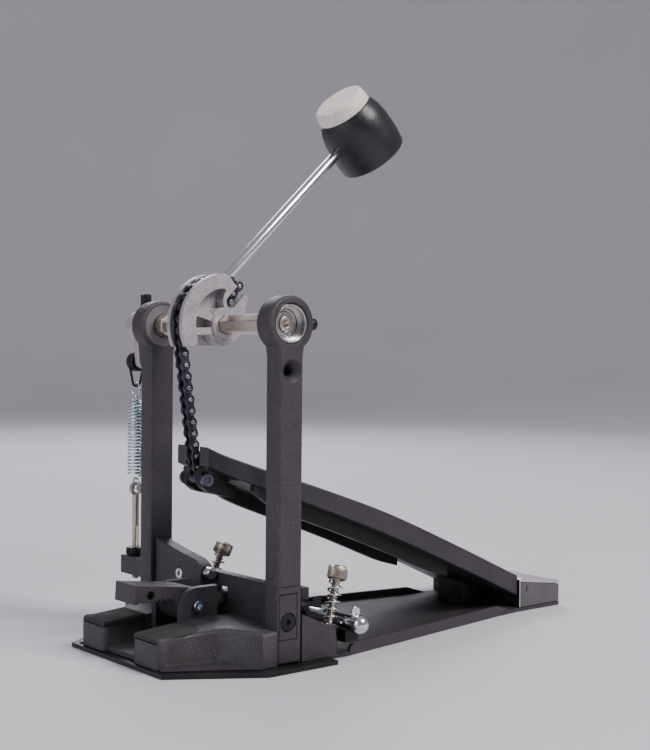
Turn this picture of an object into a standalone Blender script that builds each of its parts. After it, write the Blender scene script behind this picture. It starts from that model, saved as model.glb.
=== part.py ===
"""Bass drum pedal: two posts, a chain drive, a footboard and a hoop clamp.

Sizes are in millimetres until make() turns them into metres.  X runs along the
axle, +Y goes from the drum to the heel, +Z is up, and the origin lies on the
floor under the middle of the axle.
"""
import math

import bpy
import bmesh
from mathutils import Matrix, Vector

MM = 0.001
GAP = 0.3                       # clearance between neighbouring pieces

# posts and axle
AXLE_Z = 190.0
AXLE = (0.0, 0.0, AXLE_Z)
POST_INNER = 58.6               # inner face of each post, from the middle plane
POST_WIDTH = 13.0
POST_OUTER = POST_INNER + POST_WIDTH
POST_HALF_DEPTH = 8.3
RING_RADIUS = 15.6
BORE_RADIUS = 11.2
AXLE_CORNER = 6.0               # centre to corner of the hexagon
AXLE_TURN = 12.0                # degrees the hexagon is turned from a corner straight up
JOURNAL_RADIUS = 4.4
RECESS_Z = 164.0                # round recess in each post, below the bearing
BEARING_DEPTH = 6.1             # bearing face, in from the outer face of the post
STUD_X = 66.5

# floor plates and casting
PLATE_TOP = 2.4
FRAME_BASE = PLATE_TOP + GAP
DECK_TOP = 21.7
TOE_FRONT = -66.5
TOE_BACK = -38.0
TOE_INNER = 15.5
SEAT_OUTER = 40.0               # pad seats run from the inner side of each toe to here
SEAT_Z = 16.4
WALL_LINE = ((-66.5, 41.5), (-60.0, 41.3), (-54.0, 40.6), (-48.7, 40.6), (-43.2, 41.7), (-35.9, 45.0),
             (-29.4, 49.4), (-24.7, 56.3), (-20.8, 64.0), (-18.5, 71.6))
WALL_TOP = ((-66.5, 20.3), (-50.0, 19.8), (-36.0, 21.0), (-27.0, 22.2), (-8.6, 21.9))
WALL_ROUND = ((0.0, 2.3), (0.5, 1.2), (1.4, 0.4), (2.6, 0.0))    # inset and drop of the upper edge
WEB_FRONT, WEB_BACK, WEB_TOP = 4.0, 10.0, 43.0
BRACE_SCREW = (-31.6, 39.0)
BUSHING_X, BUSHING_Z = -14.0, 42.5
SOLE_BACK = 28.0
HEEL_FRONT, HEEL_BACK, HEEL_HALF = 221.8, 262.5, 41.6
CAP_LIP = 1.2                   # thickness of the cap where it folds down the front of the heel
SUPPORT_FRONT = 197.0
SUPPORT_HALF = 12.0

# hoop clamp
JAW_PIVOT = (-24.0, 29.0)
JAW_HALF = 10.9
SCREW_AXIS = (46.5, 19.5)
WEDGE_SLOPE = 0.5

# chain drive
CAM_RADIUS = 30.0
PIN_CIRCLE = 27.0
DRUM_RADIUS = 23.4
FLANGE_IN, FLANGE_OUT = 5.2, 8.0
CHAIN_ANCHOR = (-14.4, 100.0)
RUN_LINKS = 13
TRANSIT_LINKS = 4
WRAP_LINKS = 5
LINK_BOSS = 2.8
LINK_WAIST = 2.1
SLOT_PIN = (4.6, 13.4)          # chain end pin, from the axle

# beater
BEATER_X = -14.5
BEATER_TILT = math.radians(46.3)
ROD_OFFSET = 10.0
ROD_RADIUS = 3.1
BEATER_REACH = 177.0

# footboard
HINGE = (213.0, 18.5)
BOARD_PIVOT = (0.0, *HINGE)
BOARD_TOP = ((-16.5, 119.2), (10.0, 107.8), (35.0, 98.6), (102.0, 75.3), (170.0, 46.9), (221.0, 24.4))
BOARD_HALF = ((-16.5, 16.0), (-6.0, 17.0), (12.0, 28.5), (35.0, 37.5), (60.0, 40.0), (221.0, 40.0))

# return spring
SPRING_X = -90.0
ROCKER_ARM = 22.7
EYE_Z = 85.3

# spur screws
SPUR_FOOT = (62.0, 36.1, 18.7)
SPUR_AXIS = Vector((-5.0, 10.9, 30.0)).normalized()


# ---------------------------------------------------------------- modelling helpers

def axis_point(axis, along, first, second):
    """A point from its position along an axis and the two other coordinates."""
    if axis == "X":
        return Vector((along, first, second))
    if axis == "Y":
        return Vector((first, along, second))
    return Vector((first, second, along))


def loft(rings, closed=False):
    """Skin a list of rings that have equal counts; cap the ends unless closed."""
    bm = bmesh.new()
    rows = [[bm.verts.new(point) for point in ring] for ring in rings]
    count = len(rows[0])
    pairs = list(zip(rows, rows[1:]))
    if closed:
        pairs.append((rows[-1], rows[0]))
    for lower, upper in pairs:
        for i in range(count):
            j = (i + 1) % count
            bm.faces.new((lower[i], lower[j], upper[j], upper[i]))
    if not closed:
        bm.faces.new(rows[0])
        bm.faces.new(rows[-1])
    bmesh.ops.recalc_face_normals(bm, faces=bm.faces)
    return bm


def prism(outline, axis, start, end):
    """Extrude a closed outline along an axis."""
    return loft([[axis_point(axis, along, a, b) for a, b in outline] for along in (start, end)])


def block(x0, x1, y0, y1, z0, z1):
    return prism(((x0, y0), (x1, y0), (x1, y1), (x0, y1)), "Z", z0, z1)


def frame_of(direction):
    """Two unit vectors square to a direction."""
    ahead = Vector(direction).normalized()
    helper = Vector((1, 0, 0)) if abs(ahead.x) < 0.9 else Vector((0, 1, 0))
    side = ahead.cross(helper).normalized()
    return side, ahead.cross(side)


def turned(origin, direction, profile, sides=20, twist=0.0):
    """Turn a profile of (distance, radius) pairs about a line."""
    origin = Vector(origin)
    ahead = Vector(direction).normalized()
    side, up = frame_of(ahead)
    rings = []
    for along, radius in profile:
        angles = (twist + 2 * math.pi * i / sides for i in range(sides))
        rings.append([origin + ahead * along + (side * math.cos(a) + up * math.sin(a)) * radius
                      for a in angles])
    return loft(rings)


def rod(start, end, radius, sides=16, twist=0.0):
    start, end = Vector(start), Vector(end)
    return turned(start, end - start, ((0.0, radius), ((end - start).length, radius)), sides, twist)


def along_x(x0, x1, y, z, radius, sides=20, twist=0.0):
    return rod((x0, y, z), (x1, y, z), radius, sides, twist)


def tube_ring(points, radius, sides=6):
    """A wire that follows a closed path."""
    rings = []
    count = len(points)
    centre = sum(points, Vector()) / count
    normal = (points[0] - centre).cross(points[count // 4] - centre).normalized()
    for i, point in enumerate(points):
        ahead = (points[(i + 1) % count] - points[i - 1]).normalized()
        out = ahead.cross(normal)
        angles = (2 * math.pi * k / sides for k in range(sides))
        rings.append([point + (out * math.cos(a) + normal * math.sin(a)) * radius for a in angles])
    return loft(rings, closed=True)


def arc(centre, radius, start, end, steps):
    """Points on an arc; angles in degrees from the first axis."""
    angles = (math.radians(start + (end - start) * i / steps) for i in range(steps + 1))
    return [(centre[0] + radius * math.cos(a), centre[1] + radius * math.sin(a)) for a in angles]


def boolean(base, tool, operation):
    """Combine two bmeshes with an exact Boolean and return the result."""
    pair = []
    for bm in (base, tool):
        mesh = bpy.data.meshes.new("solid")
        bm.to_mesh(mesh)
        bm.free()
        item = bpy.data.objects.new("solid", mesh)
        bpy.context.scene.collection.objects.link(item)
        pair.append(item)
    target, other = pair
    modifier = target.modifiers.new("combine", "BOOLEAN")
    modifier.operation = operation
    modifier.solver = "EXACT"
    modifier.object = other
    depsgraph = bpy.context.evaluated_depsgraph_get()
    result = bmesh.new()
    result.from_object(target, depsgraph)
    for item in pair:
        bpy.data.objects.remove(item, do_unlink=True)
    return result


def join(base, *tools):
    for tool in tools:
        base = boolean(base, tool, "UNION")
    return base


def cut(base, *tools):
    for tool in tools:
        base = boolean(base, tool, "DIFFERENCE")
    return base


def moved(bm, matrix):
    bmesh.ops.transform(bm, matrix=matrix, verts=bm.verts)
    return bm


def mirrored(bm):
    """The same solid on the other side of the middle plane."""
    bmesh.ops.transform(bm, matrix=Matrix.Scale(-1, 4, (1, 0, 0)), verts=bm.verts)
    bmesh.ops.reverse_faces(bm, faces=bm.faces)
    return bm


def smooth_line(points, y):
    """Read a smooth curve through a few (y, value) points."""
    for i in range(len(points) - 1):
        if y <= points[i + 1][0] or i == len(points) - 2:
            break
    before, left = points[max(i - 1, 0)], points[i]
    right, after = points[i + 1], points[min(i + 2, len(points) - 1)]
    span = right[0] - left[0]
    slope_left = (right[1] - before[1]) / (right[0] - before[0])
    slope_right = (after[1] - left[1]) / (after[0] - left[0])
    t = min(max((y - left[0]) / span, 0.0), 1.0)
    return ((2 * t**3 - 3 * t**2 + 1) * left[1] + (t**3 - 2 * t**2 + t) * span * slope_left
            + (3 * t**2 - 2 * t**3) * right[1] + (t**3 - t**2) * span * slope_right)


# ---------------------------------------------------------------- materials and objects

def material(name, colour, roughness, metallic):
    item = bpy.data.materials.new(name)
    item.use_nodes = True
    shader = item.node_tree.nodes["Principled BSDF"]
    shader.inputs["Base Color"].default_value = (*colour, 1.0)
    shader.inputs["Roughness"].default_value = roughness
    shader.inputs["Metallic"].default_value = metallic
    return item


def make_materials():
    return {
        "coat": material("powder_coat", (0.045, 0.038, 0.046), 0.55, 0.2),
        "black": material("black_steel", (0.02, 0.02, 0.024), 0.4, 0.6),
        "rubber": material("rubber", (0.03, 0.027, 0.03), 0.8, 0.0),
        "cast": material("satin_cast_aluminium", (0.48, 0.45, 0.47), 0.42, 0.9),
        "chrome": material("chrome", (0.75, 0.76, 0.8), 0.12, 1.0),
        "nickel": material("satin_nickel", (0.66, 0.56, 0.46), 0.3, 1.0),
        "steel": material("bright_steel", (0.6, 0.6, 0.62), 0.25, 1.0),
        "zinc": material("blue_zinc", (0.42, 0.5, 0.6), 0.3, 1.0),
        "core": material("beater_core", (0.02, 0.018, 0.024), 0.38, 0.0),
        "felt": material("felt", (0.8, 0.74, 0.68), 0.95, 0.0),
        "board": material("board_coat", (0.05, 0.043, 0.05), 0.45, 0.3),
        "silver": material("silver_cap", (0.62, 0.59, 0.62), 0.35, 0.7),
    }


def make(name, bm, look, origin=(0.0, 0.0, 0.0)):
    """Turn a solid into a named object, in metres, with its origin on its joint's axis."""
    home = Vector(origin) * MM
    bmesh.ops.transform(bm, matrix=Matrix.Translation(-home) @ Matrix.Scale(MM, 4), verts=bm.verts)
    mesh = bpy.data.meshes.new(name)
    bm.to_mesh(mesh)
    bm.free()
    mesh.shade_smooth()
    mesh.set_sharp_from_angle(angle=math.radians(32))
    mesh.materials.append(look)
    item = bpy.data.objects.new(name, mesh)
    item.location = home
    bpy.context.scene.collection.objects.link(item)
    return item


# ---------------------------------------------------------------- base

def both_sides(half):
    """Complete a plan outline drawn on +X, front to back, with its mirror image."""
    return list(half) + [(-x, y) for x, y in reversed(half)]


def make_sole_plate(look):
    half = ((48.7, -68.5), (80.0, -20.0), (80.0, SOLE_BACK))
    plate = prism(both_sides(half), "Z", 0.0, PLATE_TOP)
    for side in (1, -1):
        plate = cut(plate, spur_cutter(side))
    make("sole_plate", plate, look)


def flange(side):
    """Upturned edge of the stabiliser plate, with a rounded front corner."""
    front, back = (67.7, 46.9), (44.2, 196.0)
    length = math.dist(front, back)
    profile = [(0.0, 0.4), (length + 22.0, 0.4), (length + 1.0, 6.8), (4.5, 6.8), (1.3, 5.5), (0.0, 2.5)]
    wall = prism(profile, "Y", -2.0, 0.0)
    turn = math.atan2(back[1] - front[1], back[0] - front[0])
    moved(wall, Matrix.Translation((front[0], front[1], 0)) @ Matrix.Rotation(turn, 4, "Z"))
    moved(wall, Matrix.Translation((-2.0, 0, 0)))
    return wall if side > 0 else mirrored(wall)


def make_stabiliser_plate(look):
    start = SOLE_BACK + GAP
    half = ((66.0, start), (67.7, 34.0), (67.7, 46.9), (44.2, 196.0), (HEEL_HALF, 220.0), (HEEL_HALF, HEEL_BACK))
    plate = prism(both_sides(half), "Z", 0.0, 2.2)
    for side in (1, -1):
        plate = cut(join(plate, flange(side)), spur_cutter(side))
    make("stabiliser_plate", plate, look)


def spur_point(side, along):
    point = Vector(SPUR_FOOT) + SPUR_AXIS * along
    return Vector((side * point.x, point.y, point.z))


def spur_cutter(side):
    return rod(spur_point(side, -26.0), spur_point(side, 8.0), 2.4 + 2 * GAP, 16)


def wall_x(y):
    """Distance of the casting's outer wall from the middle plane."""
    if y >= WALL_LINE[-1][0]:
        return POST_OUTER
    return smooth_line(WALL_LINE, y)


def casting_section(y, corner=0.0):
    """Section of one side of the casting, with the upper outer edge rounded."""
    top = smooth_line(WALL_TOP, y)
    outer = wall_x(y) - corner
    slope = abs(wall_x(y + 0.5) - wall_x(y - 0.5))
    spread = min(math.hypot(1.0, slope), 2.2)
    section = [(TOE_INNER + corner, FRAME_BASE), (outer, FRAME_BASE)]
    section += [(outer - inset * spread, top - drop) for inset, drop in WALL_ROUND]
    section.append((TOE_INNER + corner, top))
    return [Vector((x, y, z)) for x, z in section]


def side_casting(side):
    """Toe block, deck, wall and rear foot on one side of the casting."""
    corner = 3.5
    sections = []
    for degrees in (0, 25, 50, 90):
        angle = math.radians(degrees)
        sections.append(casting_section(TOE_FRONT + corner * (1 - math.cos(angle)), corner * (1 - math.sin(angle))))
    stations = (-60.0, -57.0, -54.0, -51.3, -48.7, -46.0, -43.2, -39.6, -35.9, -32.6, -29.4, -27.0, -24.7, -22.8,
                -20.8, -18.5, -8.6)
    sections += [casting_section(y) for y in stations]
    shell = cut(loft(sections), block(TOE_INNER - 5, SEAT_OUTER, TOE_FRONT - 5, TOE_BACK, SEAT_Z, SEAT_Z + 20))
    deck = block(TOE_INNER + 0.2, POST_INNER - 0.4, -9.0, WEB_FRONT + 2, FRAME_BASE, DECK_TOP)
    skirt = prism([(39.0, -64.0), (44.2, -66.0), (POST_OUTER, -20.0), (POST_OUTER, -9.0), (39.0, -9.0)],
                  "Z", FRAME_BASE, FRAME_BASE + 0.6)
    ear_front = arc(JAW_PIVOT, 10.3, 180, 90, 7)
    ear = prism(ear_front + [(-9.5, 39.3), (-9.5, 6.0), (JAW_PIVOT[0] - 10.3, 6.0)], "X", 11.3, 15.9)
    ear = cut(ear, along_x(5, 25, *JAW_PIVOT, 2.7))
    heel_foot = prism([(57.0, 8.7), (POST_OUTER, 8.7), (POST_OUTER, 33.5), (65.5, 39.5), (57.0, 41.0)],
                      "Z", FRAME_BASE, 34.0)
    slope = [(0.0, 30.4), (8.7, 29.2), (14.0, 26.9), (25.0, 21.8), (33.0, 16.0), (34.5, 12.6), (42.0, 11.0),
             (50.0, 11.0), (50.0, 60.0), (0.0, 60.0)]
    heel_foot = cut(heel_foot, prism(slope, "X", 50.0, 80.0))
    boss = rod(spur_point(1, -12.0), spur_point(1, -1.5), 5.0, 16)
    body = join(shell, deck, skirt, ear, heel_foot, boss)
    body = cut(body, spur_cutter(1))
    return body if side > 0 else mirrored(body)


def make_frame_casting(look):
    floor_half = ((41.0, TOE_FRONT + 3.0), (57.5, -9.0), (57.5, 30.0), (50.0, 41.0))
    floor = prism(both_sides(floor_half), "Z", FRAME_BASE, 5.6)
    web = block(-58.2, 58.2, WEB_FRONT, WEB_BACK, FRAME_BASE, WEB_TOP)
    web = cut(web, block(-6.6, 6.6, 0, 20, 25.3, 35.3))
    body = join(floor, web, side_casting(1), side_casting(-1))
    for side in (1, -1):
        # room for the post foot and its 0.3 mm gap
        near, far = sorted((side * (POST_INNER - GAP), side * (POST_OUTER + 5)))
        body = cut(body, block(near, far, -POST_HALF_DEPTH - GAP, POST_HALF_DEPTH + GAP, 0, 60))
    make("frame_casting", body, look)


def make_posts(looks):
    for side, word in ((1, "near"), (-1, "far")):
        joint = math.degrees(math.acos(POST_HALF_DEPTH / RING_RADIUS))
        outline = [(-POST_HALF_DEPTH, FRAME_BASE), (POST_HALF_DEPTH, FRAME_BASE)]
        outline += arc((0.0, AXLE_Z), RING_RADIUS, -joint, 180 + joint, 30)
        post = prism(outline, "X", POST_INNER, POST_OUTER)
        recess = turned((POST_OUTER - 9.0, 0, RECESS_Z), (1, 0, 0), ((0, 3.0), (5.0, 3.2), (9.0, 6.2), (10.0, 6.95)), 20)
        post = cut(post, along_x(POST_INNER - 2, POST_OUTER + 2, 0, AXLE_Z, BORE_RADIUS, 32), recess)
        if side > 0:
            post = cut(post, block(POST_OUTER - 3.3, POST_OUTER + 2, -7.3, 5.2, 16.0, 41.7))
        face = POST_OUTER - BEARING_DEPTH
        bearing = along_x(POST_OUTER - 11.0, POST_OUTER - 0.6, 0, AXLE_Z, BORE_RADIUS - GAP, 32)
        groove = cut(along_x(face - 1.3, face + 1, 0, AXLE_Z, 8.6, 28), along_x(face - 2, face + 2, 0, AXLE_Z, 6.6, 24))
        bearing = cut(bearing,
                      along_x(POST_OUTER - 12, POST_OUTER, 0, AXLE_Z, JOURNAL_RADIUS + GAP, 24),
                      along_x(face, POST_OUTER + 1, 0, AXLE_Z, 9.8, 28),
                      groove)
        stud = cut(rod((STUD_X, RING_RADIUS + GAP, AXLE_Z), (STUD_X, RING_RADIUS + 4.1, AXLE_Z), 3.4, 16),
                   rod((STUD_X, RING_RADIUS + 2.6, AXLE_Z), (STUD_X, RING_RADIUS + 6, AXLE_Z), 1.4, 6))
        pieces = (("post", post, "coat"), ("bearing", bearing, "steel"), ("bearing_stud", stud, "black"))
        for kind, solid, look in pieces:
            make(f"{word}_{kind}", solid if side > 0 else mirrored(solid), looks[look])
    panel = cut(block(POST_OUTER - 3.0, POST_OUTER - 0.15, -7.0, 4.9, 16.3, 41.0),
                along_x(POST_OUTER - 2.4, POST_OUTER + 1, -1.0, 25.7, 5.4, 24))
    make("post_panel", panel, looks["coat"])
    screw = cut(along_x(POST_OUTER - 2.1, POST_OUTER - 0.2, -1.0, 25.7, 5.0, 24),
                along_x(POST_OUTER - 1.6, POST_OUTER + 1, -1.0, 25.7, 1.8, 6))
    make("panel_screw", screw, looks["black"])


def make_cross_boss(looks):
    """Tapered brace beside the far post, with its screw and the bushing at its end."""
    outline = [(-58.2, 24.0), (-16.0, 29.5), (-8.5, 34.5), (-8.5, 46.5), (-14.0, 49.5), (-40.0, 54.0), (-58.2, 58.0)]
    boss = prism(outline, "Y", -5.0, WEB_FRONT - GAP)
    screw_x, screw_z = BRACE_SCREW
    boss = cut(boss, rod((BUSHING_X - 0.4, -0.5, BUSHING_Z), (0, -0.5, BUSHING_Z), 2.6, 16),
               rod((screw_x, -3.2, screw_z), (screw_x, -9, screw_z), 3.9, 18))
    make("brace_boss", boss, looks["coat"])
    screw = cut(rod((screw_x, -3.5, screw_z), (screw_x, -5.2, screw_z), 3.6, 18),
                rod((screw_x, -4.2, screw_z), (screw_x, -9, screw_z), 1.7, 6))
    make("brace_screw", screw, looks["chrome"])
    bushing = turned((BUSHING_X, -0.5, BUSHING_Z), (1, 0, 0), ((0, 2.3), (5.8, 2.3), (5.8, 3.5), (12.0, 3.5)), 18)
    make("brace_bushing", bushing, looks["chrome"])


def make_toe_pads(look):
    teeth = 7
    width = SEAT_OUTER - TOE_INNER - 0.8
    pitch = width / teeth
    for side, word in ((1, "near"), (-1, "far")):
        rings = []
        for y, top in ((TOE_FRONT + 0.6, 19.4), (TOE_BACK - GAP, 21.6)):
            ring = [(TOE_INNER + 0.5, 16.7), (TOE_INNER + 0.5 + width, 16.7)]
            for i in range(teeth, 0, -1):
                x = TOE_INNER + 0.5 + pitch * i
                ring += [(x, top - 1.0), (x - pitch * 0.3, top), (x - pitch * 0.7, top)]
            ring.append((TOE_INNER + 0.5, top - 1.0))
            rings.append([Vector((x, y, z)) for x, z in ring])
        pad = loft(rings)
        make(f"{word}_toe_pad", pad if side > 0 else mirrored(pad), look)


# ---------------------------------------------------------------- hoop clamp

def wedge_height(x):
    return 28.0 + WEDGE_SLOPE * (x - 30.0)


def make_hoop_clamp(looks):
    y0, z0 = JAW_PIVOT
    outline = [(-62.0, 32.8), (-61.3, 43.6), (-30.0, 39.6)]
    outline += arc(JAW_PIVOT, 9.6, 90, -180, 16)
    teeth = 7
    for i in range(teeth + 1):
        y = -37.0 - i * 3.0
        outline += [(y, 34.3), (y - 1.5, 33.0)]
    jaw = prism(outline, "X", -JAW_HALF, JAW_HALF)
    lever = block(-6.0, 6.0, y0 + 5.0, 57.0, 26.0, 32.0)
    tail_floor = wedge_height(18.0) + 0.5
    tail = [(-6.0, 31.0), (18.0, 31.0), (18.0, tail_floor), (-6.0, tail_floor - 24.0 * WEDGE_SLOPE)]
    jaw = join(jaw, lever, prism(tail, "Y", 51.0, 57.0))
    jaw = cut(jaw, along_x(-20, 20, y0, z0, 3.4), along_x(-20, 20, -51.5, 37.0, 2.5, 16))
    make("clamp_jaw", jaw, looks["coat"], (0, *JAW_PIVOT))

    bolt = turned((-17.5, y0, z0), (1, 0, 0), ((0, 2.4), (33.8, 2.4), (33.8, 3.3), (36.4, 3.3)), 18)
    bolt = cut(bolt, along_x(17.4, 20, y0, z0, 1.7, 6))
    make("jaw_bolt", bolt, looks["zinc"])

    nut = cut(block(14.0, 30.0, 41.5, 50.7, 14.0, 25.0), along_x(10, 40, *SCREW_AXIS, 3.2))
    ramp = prism([(14.0, 5.0), (30.0, 5.0), (30.0, wedge_height(30.0)), (14.0, wedge_height(14.0))], "Y", 50.2, 57.0)
    make("clamp_wedge", join(nut, ramp), looks["black"], (22.0, *SCREW_AXIS))

    profile = ((4.0, 1.9), (5.2, 2.9), (31.0, 2.9), (31.0, 3.4), (32.5, 4.0), (75.0, 4.0), (75.0, 5.2),
               (76.6, 5.5), (78.6, 5.1), (80.3, 4.1), (81.5, 2.6), (82.0, 1.0))
    screw = turned((0, *SCREW_AXIS), (1, 0, 0), profile, 20)
    thumb = [(SCREW_AXIS[0] - 2.6, SCREW_AXIS[1]), (SCREW_AXIS[0] + 2.6, SCREW_AXIS[1])]
    thumb += arc((SCREW_AXIS[0], SCREW_AXIS[1] + 7.0), 3.0, 0, 180, 8)
    make("clamp_screw", join(screw, prism(thumb, "X", 72.0, 73.9)), looks["chrome"],
         (60.0, *SCREW_AXIS))

    cradle = block(57.5, 70.5, 41.3, 51.6, 8.4, 15.2)
    make("screw_cradle", cradle, looks["black"])


# ---------------------------------------------------------------- spur screws

def make_spurs(looks):
    for side, word in ((1, "near"), (-1, "far")):
        foot = spur_point(side, 0.0)
        up = spur_point(side, 1.0) - foot
        profile = ((-19.7, 0.4), (-17.0, 2.3), (26.0, 2.3), (26.0, 4.6), (27.2, 6.0), (33.0, 6.0), (33.8, 5.2))
        make(f"{word}_spur", turned(foot, up, profile, 18), looks["nickel"], foot)
        washer = cut(turned(foot, up, ((-1.1, 4.6), (-0.2, 4.6)), 20), turned(foot, up, ((-3, 2.8), (3, 2.8)), 16))
        make(f"{word}_spur_washer", washer, looks["chrome"])
        sleeve = cut(turned(foot, up, ((0.2, 4.4), (25.6, 4.4)), 16), turned(foot, up, ((-3, 3.1), (30, 3.1)), 16))
        make(f"{word}_spur_spring", sleeve, looks["chrome"])


# ---------------------------------------------------------------- chain geometry

def chain_layout():
    """Tangent angle, pitch and angular pitch of the chain on its pin circle."""
    dy, dz = CHAIN_ANCHOR[0], CHAIN_ANCHOR[1] - AXLE_Z
    distance = math.hypot(dy, dz)
    tangent = math.atan2(dz, -dy) + math.acos(PIN_CIRCLE / distance)
    pitch = math.sqrt(distance**2 - PIN_CIRCLE**2) / RUN_LINKS
    return tangent, pitch, 2 * math.asin(pitch / 2 / PIN_CIRCLE)


def chain_pin(index):
    """Pin centre: negative indices run down to the footboard, positive ones wrap the cam."""
    tangent, pitch, step = chain_layout()
    on_circle = TRANSIT_LINKS + WRAP_LINKS
    angle = tangent + step * min(max(index, 0), on_circle)
    y = -PIN_CIRCLE * math.cos(angle)
    z = AXLE_Z + PIN_CIRCLE * math.sin(angle)
    if index < 0:
        part = -index / RUN_LINKS
        return (y + (CHAIN_ANCHOR[0] - y) * part, z + (CHAIN_ANCHOR[1] - z) * part)
    if index > on_circle:
        part = (index - on_circle) / 2
        return (y + (SLOT_PIN[0] - y) * part, z + (AXLE_Z + SLOT_PIN[1] - z) * part)
    return (y, z)


def link_outline(start, end, boss=LINK_BOSS):
    """Waisted side view of one chain link between two pins."""
    heading = math.degrees(math.atan2(end[1] - start[1], end[0] - start[0]))
    outline = arc(end, boss, heading - 78, heading + 78, 3)
    middle = ((start[0] + end[0]) / 2, (start[1] + end[1]) / 2)
    across = math.radians(heading + 90)
    offset = (LINK_WAIST * math.cos(across), LINK_WAIST * math.sin(across))
    outline.append((middle[0] + offset[0], middle[1] + offset[1]))
    outline += arc(start, boss, heading + 102, heading + 258, 3)
    outline.append((middle[0] - offset[0], middle[1] - offset[1]))
    return outline


INNER_HALF, PLATE_IN, PLATE_OUT, PIN_HALF = 2.3, 2.6, 3.7, 4.5


def inner_link(first, last, bores=()):
    link = prism(link_outline(first, last), "X", -INNER_HALF, INNER_HALF)
    for y, z in bores:
        link = cut(link, along_x(-9, 9, y, z, 1.55, 10))
    return link


def outer_link(first, last, pins=True):
    plates = [prism(link_outline(first, last), "X", side * PLATE_IN, side * PLATE_OUT) for side in (1, -1)]
    if not pins:
        return plates
    studs = [along_x(-PIN_HALF, PIN_HALF, y, z, 1.2, 8) for y, z in (first, last)]
    return join(studs[0], plates[0], plates[1], studs[1])


def strand(indices):
    """A run of links as one solid; odd spans are inner links."""
    body = None
    for index in indices:
        first, last = chain_pin(index), chain_pin(index + 1)
        link = inner_link(first, last) if index % 2 == 0 else outer_link(first, last)
        body = link if body is None else join(body, link)
    return body


def make_chain(look):
    wrap_end = TRANSIT_LINKS + WRAP_LINKS + 2
    wrap = strand(range(TRANSIT_LINKS, wrap_end))
    wrap = cut(wrap, along_x(-9, 9, *chain_pin(TRANSIT_LINKS), 1.55, 10))
    wrap = join(wrap, along_x(-FLANGE_OUT - 0.2, FLANGE_OUT + 0.4, *chain_pin(wrap_end), 1.7, 12))
    make("chain_wrap", wrap, look, AXLE)
    for index in range(TRANSIT_LINKS - 1, -1, -1):
        first, last = chain_pin(index), chain_pin(index + 1)
        link = inner_link(first, last, (first, last)) if index % 2 == 0 else outer_link(first, last)
        make(f"chain_link_{index + 1}", link, look, (0, *last))
    run = strand(range(-1, -RUN_LINKS, -1))
    make("chain_run", run, look, (0, *chain_pin(0)))
    plates = outer_link(chain_pin(-RUN_LINKS), chain_pin(1 - RUN_LINKS), pins=False)
    end_link = join(along_x(-PLATE_OUT, PLATE_OUT, *CHAIN_ANCHOR, 2.9, 14), *plates)
    end_link = cut(end_link, along_x(-9, 9, *CHAIN_ANCHOR, 2.35, 14))
    make("chain_end_link", end_link, look, BOARD_PIVOT)


# ---------------------------------------------------------------- axle group

def polar(radius, degrees):
    """Point of the cam at an angle measured up from its front."""
    angle = math.radians(degrees)
    return (-radius * math.cos(angle), AXLE_Z + radius * math.sin(angle))


def sweep(radius, start, end, steps):
    return [polar(radius, start + (end - start) * i / steps) for i in range(steps + 1)]


def from_axle(*points):
    return [(y, AXLE_Z + z) for y, z in points]


def cam_solid():
    rear = from_axle((2.2, 29.3), (7.4, 23.6), (10.9, 22.2), (14.3, 18.6), (17.1, 15.7), (15.8, 12.8),
                     (14.0, 10.4), (14.9, 5.8), (14.4, 0.0), (11.8, -5.5), (7.7, -8.8))
    hub_foot = from_axle((2.0, -10.6), (-4.0, -10.2), (-8.4, -5.6))
    near = sweep(CAM_RADIUS, -25.5, 90, 22) + rear + hub_foot + from_axle((-19.6, -6.2)) \
        + from_axle((-18.8, -11.7))
    near_flange = prism(near, "X", FLANGE_IN - 0.4, FLANGE_OUT)
    far = sweep(CAM_RADIUS, -25.5, 90, 22) + rear + from_axle((2.0, -12.2), (-18.8, -12.2))
    far_flange = prism(far, "X", -FLANGE_OUT, -FLANGE_IN + 0.4)
    drum_rear = from_axle((10.9, 19.5), (14.0, 12.0), (14.9, 5.8), (14.4, 0.0), (11.8, -5.5), (7.7, -8.8),
                          (3.0, -12.2))
    drum = prism(sweep(DRUM_RADIUS, -31.4, 116, 22) + drum_rear, "X", -FLANGE_IN, FLANGE_IN)
    crescent = sweep(21.3, 30, 87, 7) + from_axle((1.2, 20.6), (-0.8, 17.6), (-1.5, 14.2), (-0.6, 10.4)) \
        + sweep(10.4, 90, 34, 4)
    lower = from_axle((-20.2, 4.9), (-9.4, 2.1), (-9.4, -1.6), (-20.6, -2.0))
    heading = Vector((0.69, 0.72)).normalized()
    across = Vector((-heading.y, heading.x)) * 3.5
    pin = Vector((SLOT_PIN[0], AXLE_Z + SLOT_PIN[1]))
    out = pin + heading * 30
    turn = math.degrees(math.atan2(heading.y, heading.x))
    slot = arc(pin, 3.5, turn + 90, turn + 270, 8) + [tuple(out - across), tuple(out + across)]
    boss = along_x(FLANGE_OUT - 0.5, FLANGE_OUT + 1.5, 0, AXLE_Z, 9.4, 28)
    body = join(drum, near_flange, far_flange, boss)
    return cut(body,
               prism(crescent, "X", 0.5, 20), prism(lower, "X", 0.5, 20),
               prism(slot, "X", -FLANGE_IN, 20),
               along_x(-FLANGE_OUT - 5, FLANGE_OUT + 5, *chain_pin(TRANSIT_LINKS + WRAP_LINKS + 2), 2.1, 12),
               hexagon(-20, 20, AXLE_CORNER + 0.4, AXLE_TURN))


def hexagon(x0, x1, corner, turn):
    """Hexagonal bar on the axle line, turned from a corner straight up."""
    angles = (math.radians(60 * i - turn) for i in range(6))
    points = [(corner * math.sin(a), AXLE_Z + corner * math.cos(a)) for a in angles]
    return prism(points, "X", x0, x1)


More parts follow.
